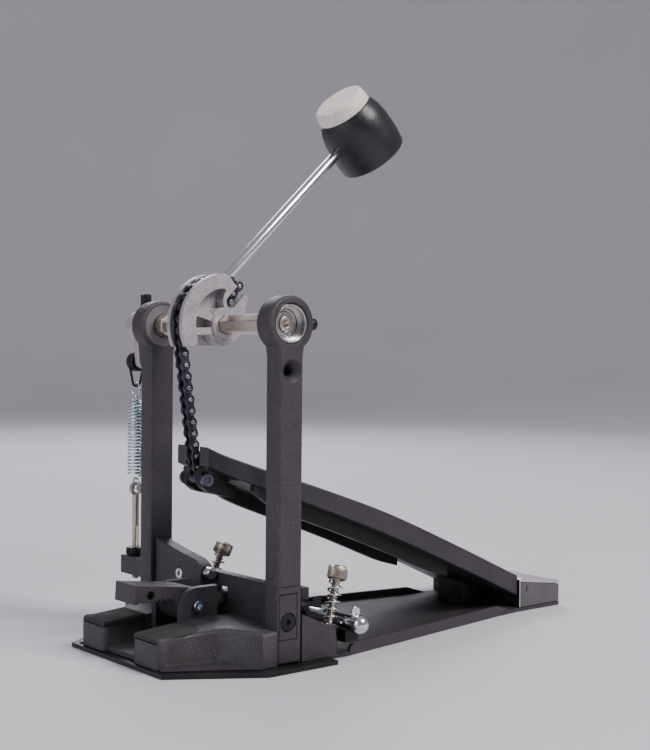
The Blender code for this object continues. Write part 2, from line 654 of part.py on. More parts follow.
def rod_frame():
    """Foot of the beater rod's axis, its heading and the strike direction."""
    heading = Vector((0, math.sin(BEATER_TILT), math.cos(BEATER_TILT)))
    strike = Vector((0, -math.cos(BEATER_TILT), math.sin(BEATER_TILT)))
    foot = Vector((BEATER_X, 0, AXLE_Z)) + strike * ROD_OFFSET
    return foot, heading, strike


def make_beater_holder(looks):
    foot, heading, strike = rod_frame()
    holder = along_x(-22.4, -8.4, 0, AXLE_Z, 11.6, 28)
    holder = join(holder, rod(foot - heading * 11.5, foot + heading * 11.5, 6.6, 20))
    holder = cut(holder, hexagon(-30, -5, AXLE_CORNER + 0.4, AXLE_TURN),
                 rod(foot - heading * 30, foot + heading * 30, ROD_RADIUS + GAP, 18),
                 block(-8.3, 5, -40, 40, 150, 230))
    make("beater_holder", holder, looks["cast"], AXLE)
    bolt_foot = Vector((-22.9, foot.y, foot.z))
    bolt = join(rod(bolt_foot, bolt_foot + Vector((-2.0, 0, 0)), 4.2, 18),
                rod(bolt_foot + Vector((-1.8, 0, 0)), bolt_foot + Vector((-8.5, 0, 0)), 3.9, 4, math.pi / 4))
    make("beater_key_bolt", bolt, looks["nickel"], AXLE)


def make_beater(looks):
    foot, heading, strike = rod_frame()
    head = foot + heading * BEATER_REACH
    make("beater_rod", rod(foot - heading * 15, head + heading * 6, ROD_RADIUS, 20), looks["chrome"], head)
    profile = ((-21.5, 21.2), (-20.9, 22.3), (-19.0, 22.9), (-14.0, 23.3), (-8.0, 23.2), (0.0, 22.4),
               (8.0, 20.6), (13.0, 19.2), (15.6, 18.3))
    core = turned(head, strike, profile, 30)
    core = cut(core, rod(head - heading * 40, head + heading * 8, ROD_RADIUS + GAP, 20))
    make("beater_core", core, looks["core"], head)
    felt = ((15.9, 17.9), (19.5, 17.7), (22.5, 16.9), (24.3, 15.3), (25.2, 13.0), (25.4, 10.0))
    make("beater_felt", turned(head, strike, felt, 30), looks["felt"], head)


def make_axle_group(looks):
    bar = join(hexagon(-49.5, POST_INNER - 1.2, AXLE_CORNER, AXLE_TURN),
               along_x(-97.0, POST_OUTER - 5.4, 0, AXLE_Z, JOURNAL_RADIUS, 20))
    bar = cut(bar, along_x(POST_OUTER - 7.4, POST_OUTER, 0, AXLE_Z, 1.6, 12))
    make("hex_axle", bar, looks["nickel"], AXLE)
    collar = cut(hexagon(-58.2, -49.9, 8.0, 0.0), along_x(-60, -45, 0, AXLE_Z, JOURNAL_RADIUS + GAP, 20))
    make("axle_collar", collar, looks["nickel"], AXLE)
    make("cam", cam_solid(), looks["cast"], AXLE)
    make_beater_holder(looks)

    arm = [(-4.2, AXLE_Z), (4.2, AXLE_Z)] + arc((0, AXLE_Z - ROCKER_ARM), 4.2, 0, -180, 10)
    rocker = join(along_x(-88.5, -72.2, 0, AXLE_Z, 9.6, 28), prism(arm, "X", -85.5, -80.0))
    rocker = cut(rocker, along_x(-110, -60, 0, AXLE_Z, JOURNAL_RADIUS + GAP, 20),
                 along_x(-110, -60, 0, AXLE_Z - ROCKER_ARM, 1.9, 12))
    make("spring_rocker", rocker, looks["cast"], AXLE)
    top = AXLE_Z + 9.6 + GAP
    key = join(rod((-79, 0, top), (-79, 0, top + 2.0), 4.0, 18),
               rod((-79, 0, top + 1.8), (-79, 0, top + 10.6), 3.7, 4, math.pi / 4))
    make("rocker_key_bolt", key, looks["nickel"], AXLE)
    roller = turned((-93.4, 0, AXLE_Z - ROCKER_ARM), (1, 0, 0),
                    ((0, 6.2), (2.0, 6.2), (2.6, 4.4), (4.2, 4.4), (4.8, 6.2), (7.2, 6.2)), 22)
    stub = rod((-87, 0, AXLE_Z - ROCKER_ARM), (-80.4, 0, AXLE_Z - ROCKER_ARM), 1.6, 12)
    make("spring_roller", join(roller, stub), looks["black"], AXLE)


# ---------------------------------------------------------------- return spring

def make_return_spring(looks):
    roller_z = AXLE_Z - ROCKER_ARM
    wire = 0.8
    stirrup = [Vector((SPRING_X, y, z)) for y, z in
               arc((0, roller_z), 5.6, -10, 190, 12) + arc((0, roller_z - 12.9), 2.8, 200, 340, 6)]
    make("spring_stirrup", tube_ring(stirrup, wire), looks["black"],
         (SPRING_X, 0, roller_z))
    hook_z = roller_z - 18.6
    top_ring = [Vector((SPRING_X + y, 0, z)) for y, z in arc((0, hook_z), 4.6, 0, 337.5, 15)]
    make("spring_top_hook", tube_ring(top_ring, wire), looks["zinc"],
         (SPRING_X, 0, hook_z))
    lower = (SPRING_X, 0, EYE_Z)
    low_ring = [Vector((SPRING_X + y, 0, z)) for y, z in arc((0, EYE_Z + 3.4), 3.4, 0, 337.5, 15)]
    make("spring_bottom_hook", tube_ring(low_ring, wire), looks["zinc"], lower)
    coil = rod((SPRING_X, 0, EYE_Z + 8.0), (SPRING_X, 0, hook_z - 5.8), 5.7, 20)
    make("return_spring", coil, looks["zinc"], lower)

    eye = cut(along_x(SPRING_X - 1.3, SPRING_X + 1.3, 0, EYE_Z, 4.4, 20),
              along_x(SPRING_X - 5, SPRING_X + 5, 0, EYE_Z, 2.3, 16))
    shank = turned((SPRING_X, 0, 27.5), (0, 0, 1), ((0, 1.3), (1.5, 2.2), (54.8, 2.2)), 16)
    make("tension_rod", join(eye, shank), looks["nickel"], lower)
    nut = cut(turned((SPRING_X, 0, 42.8), (0, 0, 1), ((0, 5.4), (0.6, 6.1), (4.4, 6.1), (5.0, 5.4)), 24),
              rod((SPRING_X, 0, 40), (SPRING_X, 0, 50), 2.6, 16))
    make("tension_nut", nut, looks["black"], (SPRING_X, 0, 45.0))
    lug = cut(block(-97.0, -POST_OUTER - GAP, -6.8, 6.8, 31.0, 42.5),
              rod((SPRING_X, 0, 25), (SPRING_X, 0, 50), 2.6, 16))
    make("spring_lug", lug, looks["coat"])


# ---------------------------------------------------------------- footboard and heel

def board_depth(y):
    return smooth_line(((-16.5, 11.0), (35.0, 12.0), (102.0, 13.8), (221.0, 13.6)), y)


def board_solid():
    stations = [-16.5, -10, -4, 2, 8, 14, 22, 30, 40, 52, 70, 90, 110, 130, 150, 170, 190, 205, 217, 221]
    rings = []
    for y in stations:
        half = smooth_line(BOARD_HALF, y)
        top = smooth_line(BOARD_TOP, y)
        bottom = top - board_depth(y)
        edge = 1.2
        rings.append([Vector(p) for p in (
            (-half, y, bottom), (half, y, bottom), (half, y, top - edge), (half - edge, y, top),
            (-half + edge, y, top), (-half, y, top - edge))])
    slab = loft(rings)
    slot = [(-7.0, -30.0), (7.0, -30.0)] + arc((0, 2.0), 7.0, 0, 180, 10)
    room = SUPPORT_HALF + 0.7
    hinge_room = join(along_x(-room, room, *HINGE, 5.5, 20),
                      block(-room, room, HINGE[0] - 5.5, 240, 5, HINGE[1]))
    return cut(slab, prism(slot, "Z", 60, 140), hinge_room, along_x(-30.0, 30.0, *HINGE, 2.5, 16))


def rail(side):
    """Stiffening rail under the board."""
    outline = []
    for y in (9.0, 22.0, 40.0, 70.0, 110.0, 150.0, 168.0):
        outline.append((y, smooth_line(BOARD_TOP, y) - board_depth(y) + 1.0))
    for y, depth in ((168.0, 6.0), (150.0, 8.4), (110.0, 8.9), (70.0, 8.8), (40.0, 8.6), (22.0, 8.2), (9.0, 4.0)):
        outline.append((y, smooth_line(BOARD_TOP, y) - board_depth(y) - depth))
    inner, outer = sorted((side * 22.0, side * 26.0))
    return prism(outline, "X", inner, outer)


def make_footboard(looks):
    make("footboard", join(board_solid(), rail(1), rail(-1)), looks["board"], BOARD_PIVOT)
    under = [(-16.8, 106.8), (-17.6, 97.2), (-12.0, 92.6), (-6.0, 90.8), (4.0, 88.6), (8.0, 91.0), (8.0, 94.8)]
    bracket = prism(under, "X", -9.5, 9.5)
    above = [(-30.0, 140.0)] + [(y, smooth_line(BOARD_TOP, y) - board_depth(y) - GAP)
                                for y in (-30.0, -16.5, -8.0, 0.0, 8.0, 20.0)] + [(20.0, 140.0)]
    y0, z0 = CHAIN_ANCHOR
    bracket = cut(bracket, prism(above, "X", -20, 20),
                  block(-4.3, 4.3, -30, -4.0, 80, 130), along_x(-20, 20, y0, z0, 2.4, 14))
    make("toe_bracket", bracket, looks["black"], BOARD_PIVOT)
    bolt = turned((-12.2, y0, z0), (1, 0, 0), ((0, 3.9), (2.3, 3.9), (2.3, 2.05), (22.1, 2.05), (22.1, 4.0),
                                               (25.0, 4.0)), 18)
    bolt = cut(bolt, along_x(11.0, 15.0, y0, z0, 2.0, 6))
    make("toe_bolt", bolt, looks["steel"], BOARD_PIVOT)


def make_heel(looks):
    floor = 2.2 + GAP
    fall = (19.6 - 14.4) / (HEEL_BACK - HEEL_FRONT)
    front = HEEL_FRONT + CAP_LIP + GAP
    body = prism([(front, floor), (front, 19.6 - fall * (front - HEEL_FRONT)), (HEEL_BACK, 14.4), (HEEL_BACK, floor)],
                 "X", -HEEL_HALF, HEEL_HALF)
    notch = ((227.6, 12.4), (229.2, 12.4), (230.2, 16.6), (228.6, 16.6))
    body = cut(body, prism(notch, "X", HEEL_HALF - 1.2, HEEL_HALF + 2),
               prism(notch, "X", -HEEL_HALF - 2, -HEEL_HALF + 1.2))
    make("heel_block", body, looks["coat"])
    cap = prism([(HEEL_FRONT, floor), (HEEL_FRONT, 21.4), (HEEL_FRONT + 2, 22.0), (HEEL_BACK, 17.0),
                 (HEEL_BACK, 14.7), (HEEL_FRONT + CAP_LIP, 19.9 - fall * CAP_LIP), (HEEL_FRONT + CAP_LIP, floor)],
                "X", -HEEL_HALF, HEEL_HALF)
    make("heel_cap", cap, looks["silver"])
    y0, z0 = HINGE
    support = prism([(SUPPORT_FRONT, floor), (SUPPORT_FRONT, 18.8), (y0 - 5.0, 14.5), (y0 - 4.8, z0)]
                    + arc(HINGE, 4.8, 170, 0, 9) + [(y0 + 4.8, floor)], "X", -SUPPORT_HALF, SUPPORT_HALF)
    support = cut(support, along_x(-30, 30, y0, z0, 2.5, 16))
    make("heel_support", support, looks["black"])
    make("heel_pin", along_x(-29.7, 29.7, y0, z0, 2.15, 16), looks["steel"])


# ---------------------------------------------------------------- assembly

def main():
    for item in list(bpy.data.objects):
        bpy.data.objects.remove(item, do_unlink=True)
    looks = make_materials()
    make_sole_plate(looks["black"])
    make_stabiliser_plate(looks["coat"])
    make_frame_casting(looks["coat"])
    make_posts(looks)
    make_cross_boss(looks)
    make_toe_pads(looks["rubber"])
    make_hoop_clamp(looks)
    make_spurs(looks)
    make_axle_group(looks)
    make_beater(looks)
    make_chain(looks["black"])
    make_return_spring(looks)
    make_footboard(looks)
    make_heel(looks)


main()
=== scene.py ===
"""Looks for the bass drum pedal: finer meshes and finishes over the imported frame."""

import math
import random

import bpy
import bmesh
from mathutils import Matrix, Vector, noise


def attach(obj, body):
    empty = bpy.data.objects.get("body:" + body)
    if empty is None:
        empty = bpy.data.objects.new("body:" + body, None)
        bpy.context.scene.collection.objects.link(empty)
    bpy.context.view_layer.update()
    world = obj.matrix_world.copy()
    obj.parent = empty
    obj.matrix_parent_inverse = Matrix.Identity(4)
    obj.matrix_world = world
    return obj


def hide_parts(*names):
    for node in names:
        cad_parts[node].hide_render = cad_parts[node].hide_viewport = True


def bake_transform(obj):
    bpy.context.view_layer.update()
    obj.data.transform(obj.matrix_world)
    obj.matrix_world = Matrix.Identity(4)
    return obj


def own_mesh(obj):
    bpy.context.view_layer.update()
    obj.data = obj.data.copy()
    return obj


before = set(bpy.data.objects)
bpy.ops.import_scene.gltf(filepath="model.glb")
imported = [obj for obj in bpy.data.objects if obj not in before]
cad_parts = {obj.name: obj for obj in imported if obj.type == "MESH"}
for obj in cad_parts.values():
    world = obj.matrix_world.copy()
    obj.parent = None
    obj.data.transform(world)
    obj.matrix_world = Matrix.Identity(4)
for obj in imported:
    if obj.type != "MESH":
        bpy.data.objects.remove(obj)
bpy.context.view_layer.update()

# Sizes are in millimetres; place() turns them into metres.
MM = 0.001
SIDES = ((1, "near"), (-1, "far"))
ALONG_X = (1, 0, 0)
AXLE_Z = 190.0
POST_INNER, POST_OUTER, POST_HALF = 58.6, 71.6, 8.3
RING_RADIUS = 15.6
RING_SIDES = 88
BEARING_DEPTH = 6.1
RECESS_Z = 164.0
STUD_X = 66.5
PANEL_SCREW = (-1.0, 25.7)
AXLE_CORNER = 6.0
AXLE_TURN = 12.0
JOURNAL = 4.4
PIN_CIRCLE = 27.0
CAM_RADIUS = 30.0
CHAIN_ANCHOR = (-14.4, 100.0)
RUN_LINKS = 13
TRANSIT_LINKS = 4
WRAP_END = 9
SLOT_PIN = (4.6, 13.4)
BEATER_X = -14.5
BEATER_TILT = math.radians(46.3)
ROD_OFFSET = 10.0
BEATER_REACH = 177.0
HINGE = (213.0, 18.5)
SPRING_X = -90.0
ROLLER_Z = 167.3
EYE_Z = 85.3
SCREW_AXIS = (46.5, 19.5)
JAW_BOLT = (-24.0, 29.0)
BRACE_SCREW = (-31.6, 39.0)
SPUR_FOOT = Vector((62.0, 36.1, 18.7))
SPUR_AXIS = Vector((-5.0, 10.9, 30.0)).normalized()
COIL_STEPS = 28
FELT_HAIRS = 900


# ---------------------------------------------------------------- solids, in millimetres

def axis_point(axis, along, first, second):
    """Point at a distance along an axis, with its two other coordinates in order."""
    if axis == "X":
        return Vector((along, first, second))
    if axis == "Y":
        return Vector((first, along, second))
    return Vector((first, second, along))


def mesh_of(name, bm):
    """Turn a bmesh into a mesh and free it."""
    mesh = bpy.data.meshes.new(name)
    bm.to_mesh(mesh)
    bm.free()
    return mesh


def into_scene(name, data):
    item = bpy.data.objects.new(name, data)
    bpy.context.scene.collection.objects.link(item)
    return item


def loft(rings, closed=False):
    """Skin rings of equal counts; cap the ends unless the rings close on themselves."""
    bm = bmesh.new()
    rows = [[bm.verts.new(point) for point in ring] for ring in rings]
    count = len(rows[0])
    pairs = list(zip(rows, rows[1:]))
    if closed:
        pairs.append((rows[-1], rows[0]))
    for lower, upper in pairs:
        for i in range(count):
            j = (i + 1) % count
            bm.faces.new((lower[i], lower[j], upper[j], upper[i]))
    if not closed:
        bm.faces.new(rows[0])
        bm.faces.new(rows[-1])
    bmesh.ops.recalc_face_normals(bm, faces=bm.faces)
    return bm


def prism(outline, axis, start, end, rim=0.0, steps=3):
    """Extrude an outline along an axis and round both of its rims."""
    bm = loft([[axis_point(axis, along, a, b) for a, b in outline] for along in (start, end)])
    if rim:
        caps = [face for face in bm.faces if len(face.verts) == len(outline)]
        edges = {edge for face in caps for edge in face.edges}
        bmesh.ops.bevel(bm, geom=list(edges), offset=rim, segments=steps, profile=0.5,
                        affect="EDGES", clamp_overlap=True)
    return bm


def block(x0, x1, y0, y1, z0, z1, rim=0.0):
    """Box with all of its edges rounded by rim."""
    bm = prism(((x0, y0), (x1, y0), (x1, y1), (x0, y1)), "Z", z0, z1)
    if rim:
        bmesh.ops.bevel(bm, geom=list(bm.edges), offset=rim, segments=3, profile=0.5,
                        affect="EDGES", clamp_overlap=True)
    return bm


def frame_of(direction):
    """Two unit vectors square to a direction and to each other."""
    ahead = Vector(direction).normalized()
    helper = Vector((1, 0, 0)) if abs(ahead.x) < 0.9 else Vector((0, 1, 0))
    side = ahead.cross(helper).normalized()
    return side, ahead.cross(side)


def turned(origin, direction, profile, sides=64, twist=0.0, closed=False):
    """Turn (distance, radius) pairs about a line; a closed profile makes a ring."""
    origin, ahead = Vector(origin), Vector(direction).normalized()
    side, up = frame_of(ahead)
    rings = []
    for along, radius in profile:
        rings.append([origin + ahead * along + (side * math.cos(a) + up * math.sin(a)) * radius
                      for a in (twist + 2 * math.pi * i / sides for i in range(sides))])
    return loft(rings, closed)


def rod(start, end, radius, sides=40, rim=0.0):
    """Round bar with chamfered ends."""
    start, end = Vector(start), Vector(end)
    length = (end - start).length
    profile = [(0, radius), (length, radius)]
    if rim:
        profile = [(0, radius - rim), (rim * 0.3, radius - rim * 0.3), (rim, radius),
                   (length - rim, radius), (length - rim * 0.3, radius - rim * 0.3), (length, radius - rim)]
    return turned(start, end - start, profile, sides)


def along_x(x0, x1, y, z, radius, sides=40, rim=0.0):
    return rod((x0, y, z), (x1, y, z), radius, sides, rim)


def wire(points, radius, closed=False, sides=12):
    """Round wire along a path, carried without twisting."""
    rings = []
    count = len(points)
    normal = None
    for i, point in enumerate(points):
        after = points[(i + 1) % count] if closed else points[min(i + 1, count - 1)]
        before = points[i - 1] if closed else points[max(i - 1, 0)]
        ahead = (after - before).normalized()
        if normal is None:
            normal = frame_of(ahead)[0]
        normal = (normal - ahead * normal.dot(ahead)).normalized()
        side = ahead.cross(normal)
        rings.append([point + (normal * math.cos(a) + side * math.sin(a)) * radius
                      for a in (2 * math.pi * k / sides for k in range(sides))])
    return loft(rings, closed)


def thread(origin, direction, start, end, radius, pitch, depth, sides=28):
    """Screw thread: the radius follows the helix round the bar."""
    origin, ahead = Vector(origin), Vector(direction).normalized()
    side, up = frame_of(ahead)
    steps = max(int((end - start) / pitch * 8), 8)
    rings = []
    for k in range(steps + 1):
        along = start + (end - start) * k / steps
        ring = []
        for i in range(sides):
            turn = i / sides
            wave = abs(((along / pitch + turn) % 1.0) * 2 - 1)
            taper = min(1.0, (along - start) / pitch, (end - along) / pitch)
            a = 2 * math.pi * turn
            ring.append(origin + ahead * along + (side * math.cos(a) + up * math.sin(a))
                        * (radius - depth * wave * max(taper, 0.0)))
        rings.append(ring)
    return loft(rings)


def knurl(origin, direction, profile, teeth, depth):
    """A turned knob whose edge carries straight knurling."""
    origin, ahead = Vector(origin), Vector(direction).normalized()
    side, up = frame_of(ahead)
    rings = []
    for along, radius, cut in profile:
        ring = []
        for i in range(teeth * 4):
            a = 2 * math.pi * i / (teeth * 4)
            r = radius - (depth * cut if i % 4 in (0, 1) else 0.0)
            ring.append(origin + ahead * along + (side * math.cos(a) + up * math.sin(a)) * r)
        rings.append(ring)
    return loft(rings)


def arc(centre, radius, start, end, steps):
    """Points of a circular arc, from one angle in degrees to another."""
    angles = (math.radians(start + (end - start) * i / steps) for i in range(steps + 1))
    return [(centre[0] + radius * math.cos(a), centre[1] + radius * math.sin(a)) for a in angles]


def boolean(base, tool, operation):
    """Combine two solids with the exact solver; both of them are used up."""
    target, other = pair = [into_scene("solid", mesh_of("solid", bm)) for bm in (base, tool)]
    modifier = target.modifiers.new("combine", "BOOLEAN")
    modifier.operation = operation
    modifier.solver = "EXACT"
    modifier.object = other
    result = bmesh.new()
    result.from_object(target, bpy.context.evaluated_depsgraph_get())
    for item in pair:
        mesh = item.data
        bpy.data.objects.remove(item, do_unlink=True)
        bpy.data.meshes.remove(mesh)
    return result


def join(base, *tools):
    for tool in tools:
        base = boolean(base, tool, "UNION")
    return base


def cut(base, *tools):
    for tool in tools:
        base = boolean(base, tool, "DIFFERENCE")
    return base


def gather(*parts):
    """Put separate solids into one mesh; a part may be (solid, material index)."""
    result = bmesh.new()
    for part in parts:
        bm, index = part if isinstance(part, tuple) else (part, 0)
        for face in bm.faces:
            face.material_index = index
        mesh = mesh_of("part", bm)
        result.from_mesh(mesh)
        bpy.data.meshes.remove(mesh)
    return result


def on_side(bm, side):
    """Keep a near solid as it is, or mirror it for the far side."""
    if side < 0:
        bmesh.ops.transform(bm, matrix=Matrix.Scale(-1, 4, ALONG_X), verts=bm.verts)
        bmesh.ops.reverse_faces(bm, faces=bm.faces)
    return bm


def smooth_line(points, y):
    """Read a smooth curve through a few (y, value) points."""
    for i in range(len(points) - 1):
        if y <= points[i + 1][0] or i == len(points) - 2:
            break
    before, left = points[max(i - 1, 0)], points[i]
    right, after = points[i + 1], points[min(i + 2, len(points) - 1)]
    span = right[0] - left[0]
    slope_left = (right[1] - before[1]) / (right[0] - before[0])
    slope_right = (after[1] - left[1]) / (after[0] - left[0])
    t = min(max((y - left[0]) / span, 0.0), 1.0)
    return ((2 * t**3 - 3 * t**2 + 1) * left[1] + (t**3 - 2 * t**2 + t) * span * slope_left
            + (3 * t**2 - 2 * t**3) * right[1] + (t**3 - t**2) * span * slope_right)


# ---------------------------------------------------------------- finishes

def node(tree, kind, **values):
    """Add a shader node and set its options."""
    item = tree.nodes.new(kind)
    for key, value in values.items():
        setattr(item, key, value)
    return item


def noise_map(tree, coords, scale, detail=4.0):
    """Noise in the object's own coordinates, at a scale per metre."""
    texture = node(tree, "ShaderNodeTexNoise")
    texture.inputs["Scale"].default_value = scale
    texture.inputs["Detail"].default_value = detail
    tree.links.new(coords, texture.inputs["Vector"])
    return texture.outputs["Fac"]


def spread(tree, source, low, high, low_in=0.3, high_in=0.7):
    """Map the middle of a noise onto a range."""
    item = node(tree, "ShaderNodeMapRange")
    item.inputs["From Min"].default_value = low_in
    item.inputs["From Max"].default_value = high_in
    item.inputs["To Min"].default_value = low
    item.inputs["To Max"].default_value = high
    tree.links.new(source, item.inputs["Value"])
    return item.outputs["Result"]


def finish_of(name, dark, light, rough, metallic, mottle=60.0, grain=1500.0, bump=0.1,
              speck=None, coat=0.0, sheen=0.0):
    """A finish with mottled colour, uneven gloss and a fine grain in relief."""
    material = bpy.data.materials.new(name)
    material.use_nodes = True
    tree = material.node_tree
    shader = tree.nodes["Principled BSDF"]
    coords = node(tree, "ShaderNodeTexCoord").outputs["Object"]
    patches = noise_map(tree, coords, mottle)
    fine = noise_map(tree, coords, grain, 2.0)
    colour = node(tree, "ShaderNodeMix", data_type="RGBA")
    colour.inputs["A"].default_value = (*dark, 1)
    colour.inputs["B"].default_value = (*light, 1)
    tree.links.new(spread(tree, patches, 0.0, 1.0), colour.inputs["Factor"])
    result = colour.outputs["Result"]
    if speck:
        flecks = node(tree, "ShaderNodeMix", data_type="RGBA")
        flecks.inputs["B"].default_value = (*speck, 1)
        tree.links.new(result, flecks.inputs["A"])
        tree.links.new(spread(tree, fine, 0.0, 1.0, 0.60, 0.72), flecks.inputs["Factor"])
        result = flecks.outputs["Result"]
    tree.links.new(result, shader.inputs["Base Color"])
    tree.links.new(spread(tree, patches, rough * 0.85, min(rough * 1.2, 1.0)), shader.inputs["Roughness"])
    shader.inputs["Metallic"].default_value = metallic
    shader.inputs["Coat Weight"].default_value = coat
    shader.inputs["Coat Roughness"].default_value = 0.25
    shader.inputs["Sheen Weight"].default_value = sheen
    relief = node(tree, "ShaderNodeBump")
    relief.inputs["Strength"].default_value = bump
    relief.inputs["Distance"].default_value = 0.0003
    tree.links.new(fine, relief.inputs["Height"])
    tree.links.new(relief.outputs["Normal"], shader.inputs["Normal"])
    return material


# Colours are linear; mottle and grain are noise scales per metre.
FINISHES = {
    "powder_coat": dict(dark=(0.028, 0.024, 0.029), light=(0.040, 0.034, 0.040), rough=0.50,
        metallic=0.0, mottle=70.0, grain=1400.0, bump=0.7, speck=(0.12, 0.105, 0.117)),
    "heel_grey": dict(dark=(0.080, 0.074, 0.082), light=(0.105, 0.098, 0.106), rough=0.55,
        metallic=0.0, mottle=70.0, grain=1500.0, bump=0.4, speck=(0.16, 0.15, 0.16)),
    "black_steel": dict(dark=(0.012, 0.011, 0.013), light=(0.024, 0.022, 0.025), rough=0.38,
        metallic=0.5, mottle=90.0, grain=1800.0, bump=0.2),
    "chain_steel": dict(dark=(0.030, 0.030, 0.042), light=(0.105, 0.105, 0.140), rough=0.30,
        metallic=0.85, mottle=260.0, grain=2500.0, bump=0.15),
    "pin_steel": dict(dark=(0.26, 0.26, 0.30), light=(0.42, 0.42, 0.46), rough=0.28, metallic=1.0,
        mottle=260.0, grain=1500.0, bump=0.06),
    "dark_key": dict(dark=(0.035, 0.034, 0.038), light=(0.085, 0.082, 0.088), rough=0.30,
        metallic=0.85, mottle=160.0, grain=1500.0, bump=0.1),
    "dark_bolt": dict(dark=(0.07, 0.08, 0.105), light=(0.16, 0.18, 0.22), rough=0.28, metallic=0.9,
        mottle=160.0, grain=1500.0, bump=0.1),
    "washer_grey": dict(dark=(0.13, 0.125, 0.135), light=(0.18, 0.172, 0.182), rough=0.5, metallic=0.4,
        mottle=90.0, grain=1200.0, bump=0.3, speck=(0.26, 0.25, 0.26)),
    "rubber": dict(dark=(0.018, 0.016, 0.018), light=(0.03, 0.027, 0.03), rough=0.75, metallic=0.0,
        mottle=80.0, grain=2000.0, bump=0.4),
    "satin_cast_aluminium": dict(dark=(0.42, 0.385, 0.405), light=(0.47, 0.43, 0.45), rough=0.44,
        metallic=0.6, mottle=240.0, grain=1100.0, bump=0.75, speck=(0.78, 0.75, 0.77)),
    "chrome": dict(dark=(0.64, 0.66, 0.70), light=(0.76, 0.78, 0.81), rough=0.17, metallic=1.0,
        mottle=40.0, grain=900.0, bump=0.02),
    "satin_nickel": dict(dark=(0.485, 0.430, 0.370), light=(0.52, 0.462, 0.402), rough=0.31,
        metallic=1.0, mottle=120.0, grain=1600.0, bump=0.015),
    "bright_steel": dict(dark=(0.50, 0.49, 0.48), light=(0.66, 0.65, 0.64), rough=0.22, metallic=1.0,
        mottle=200.0, grain=1500.0, bump=0.06),
    "blue_zinc": dict(dark=(0.36, 0.44, 0.52), light=(0.58, 0.68, 0.76), rough=0.25, metallic=1.0,
        mottle=150.0, grain=1500.0, bump=0.06),
    "beater_core": dict(dark=(0.006, 0.0055, 0.0075), light=(0.010, 0.009, 0.012), rough=0.38,
        metallic=0.0, mottle=45.0, grain=700.0, bump=0.55, speck=(0.030, 0.027, 0.034), coat=0.12),
    "felt": dict(dark=(0.70, 0.62, 0.55), light=(0.90, 0.84, 0.78), rough=0.95, metallic=0.0,
        mottle=330.0, grain=2600.0, bump=1.0, speck=(0.94, 0.91, 0.87), sheen=0.4),
    "board_coat": dict(dark=(0.026, 0.023, 0.027), light=(0.038, 0.033, 0.038), rough=0.40,
        metallic=0.1, mottle=60.0, grain=2200.0, bump=0.3, speck=(0.07, 0.06, 0.07)),
    "silver_cap": dict(dark=(0.50, 0.47, 0.50), light=(0.62, 0.59, 0.62), rough=0.36, metallic=0.6,
        mottle=80.0, grain=2000.0, bump=0.15),
}
LOOKS = {name: finish_of(name, **values) for name, values in FINISHES.items()}


# ---------------------------------------------------------------- placing pieces

def place(name, bm, look, body, nodes=(), soften=0.0, extra=None, sharp=35.0, steps=2):
    """Make a piece in metres, give it its finish and let it ride on its body."""
    bmesh.ops.transform(bm, matrix=Matrix.Scale(MM, 4), verts=bm.verts)
    mesh = mesh_of(name, bm)
    mesh.shade_smooth()
    mesh.set_sharp_from_angle(angle=math.radians(sharp))
    item = into_scene(name, mesh)
    mesh.materials.append(LOOKS[look])
    if extra:
        mesh.materials.append(LOOKS[extra])
    if soften:
        bevel = item.modifiers.new("soften", "BEVEL")
        bevel.width = soften * MM
        bevel.segments = steps
        bevel.limit_method = "ANGLE"
        bevel.angle_limit = math.radians(38)
        bevel.harden_normals = True
    if body:
        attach(item, body)
    if nodes:
        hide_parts(*nodes)
    return item


def recast(name, look, body, soften=0.5, front=None):
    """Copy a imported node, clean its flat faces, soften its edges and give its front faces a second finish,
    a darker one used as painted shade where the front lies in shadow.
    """
    bm = bmesh.new()
    bm.from_mesh(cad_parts[name].data)
    bmesh.ops.transform(bm, matrix=Matrix.Scale(1 / MM, 4), verts=bm.verts)
    bmesh.ops.remove_doubles(bm, verts=bm.verts, dist=0.001)
    bmesh.ops.dissolve_limit(bm, angle_limit=math.radians(0.6), verts=bm.verts, edges=bm.edges)
    bm.normal_update()
    # Forward-facing faces take the second finish, which paints shade onto the shadowed front.
    for face in bm.faces:
        face.material_index = 1 if front and face.normal.y < -0.9 else 0
    return place(f"{name}_look", bm, look, body, (name,), soften, front, steps=3)


# ---------------------------------------------------------------- pieces

def axle_ring(x0, x1, inner, outer, rim=0.0):
    """Ring on the axle line, with chamfered outer edges."""
    width = x1 - x0
    if rim:
        profile = ((0, inner), (0, outer - rim), (rim, outer), (width - rim, outer), (width, outer - rim),
                   (width, inner))
    else:
        profile = ((0, inner), (0, outer), (width, outer), (width, inner))
    return turned((x0, 0, AXLE_Z), ALONG_X, profile, RING_SIDES, closed=True)


def build_bearing():
    """Bright sleeve with the ball bearing set back inside it."""
    back, front, face = POST_OUTER - 11.0, POST_OUTER - 0.6, POST_OUTER - BEARING_DEPTH
    length = front - back
    sleeve = turned((back, 0, AXLE_Z), ALONG_X,
                    ((0, 9.0), (0, 10.9), (length - 0.3, 10.9), (length, 10.6), (length, 10.1),
                     (length - 0.3, 9.8), (face - back, 9.8), (face - back, 9.0)), RING_SIDES, closed=True)
    outer_race = axle_ring(back, face - 0.1, 8.5, 9.6)
    inner_race = axle_ring(back, face - 0.15, 4.75, 6.7, 0.3)
    cage = axle_ring(back + 1, face - 1.1, 6.6, 8.6)
    shield = axle_ring(face - 1.2, face - 0.7, 7.0, 8.2, 0.1)
    washer = axle_ring(back - 2.25, back - 1.7, 7.2, 12.8, 0.15)
    return gather(sleeve, outer_race, inner_race, (cage, 1), shield, (washer, 1))


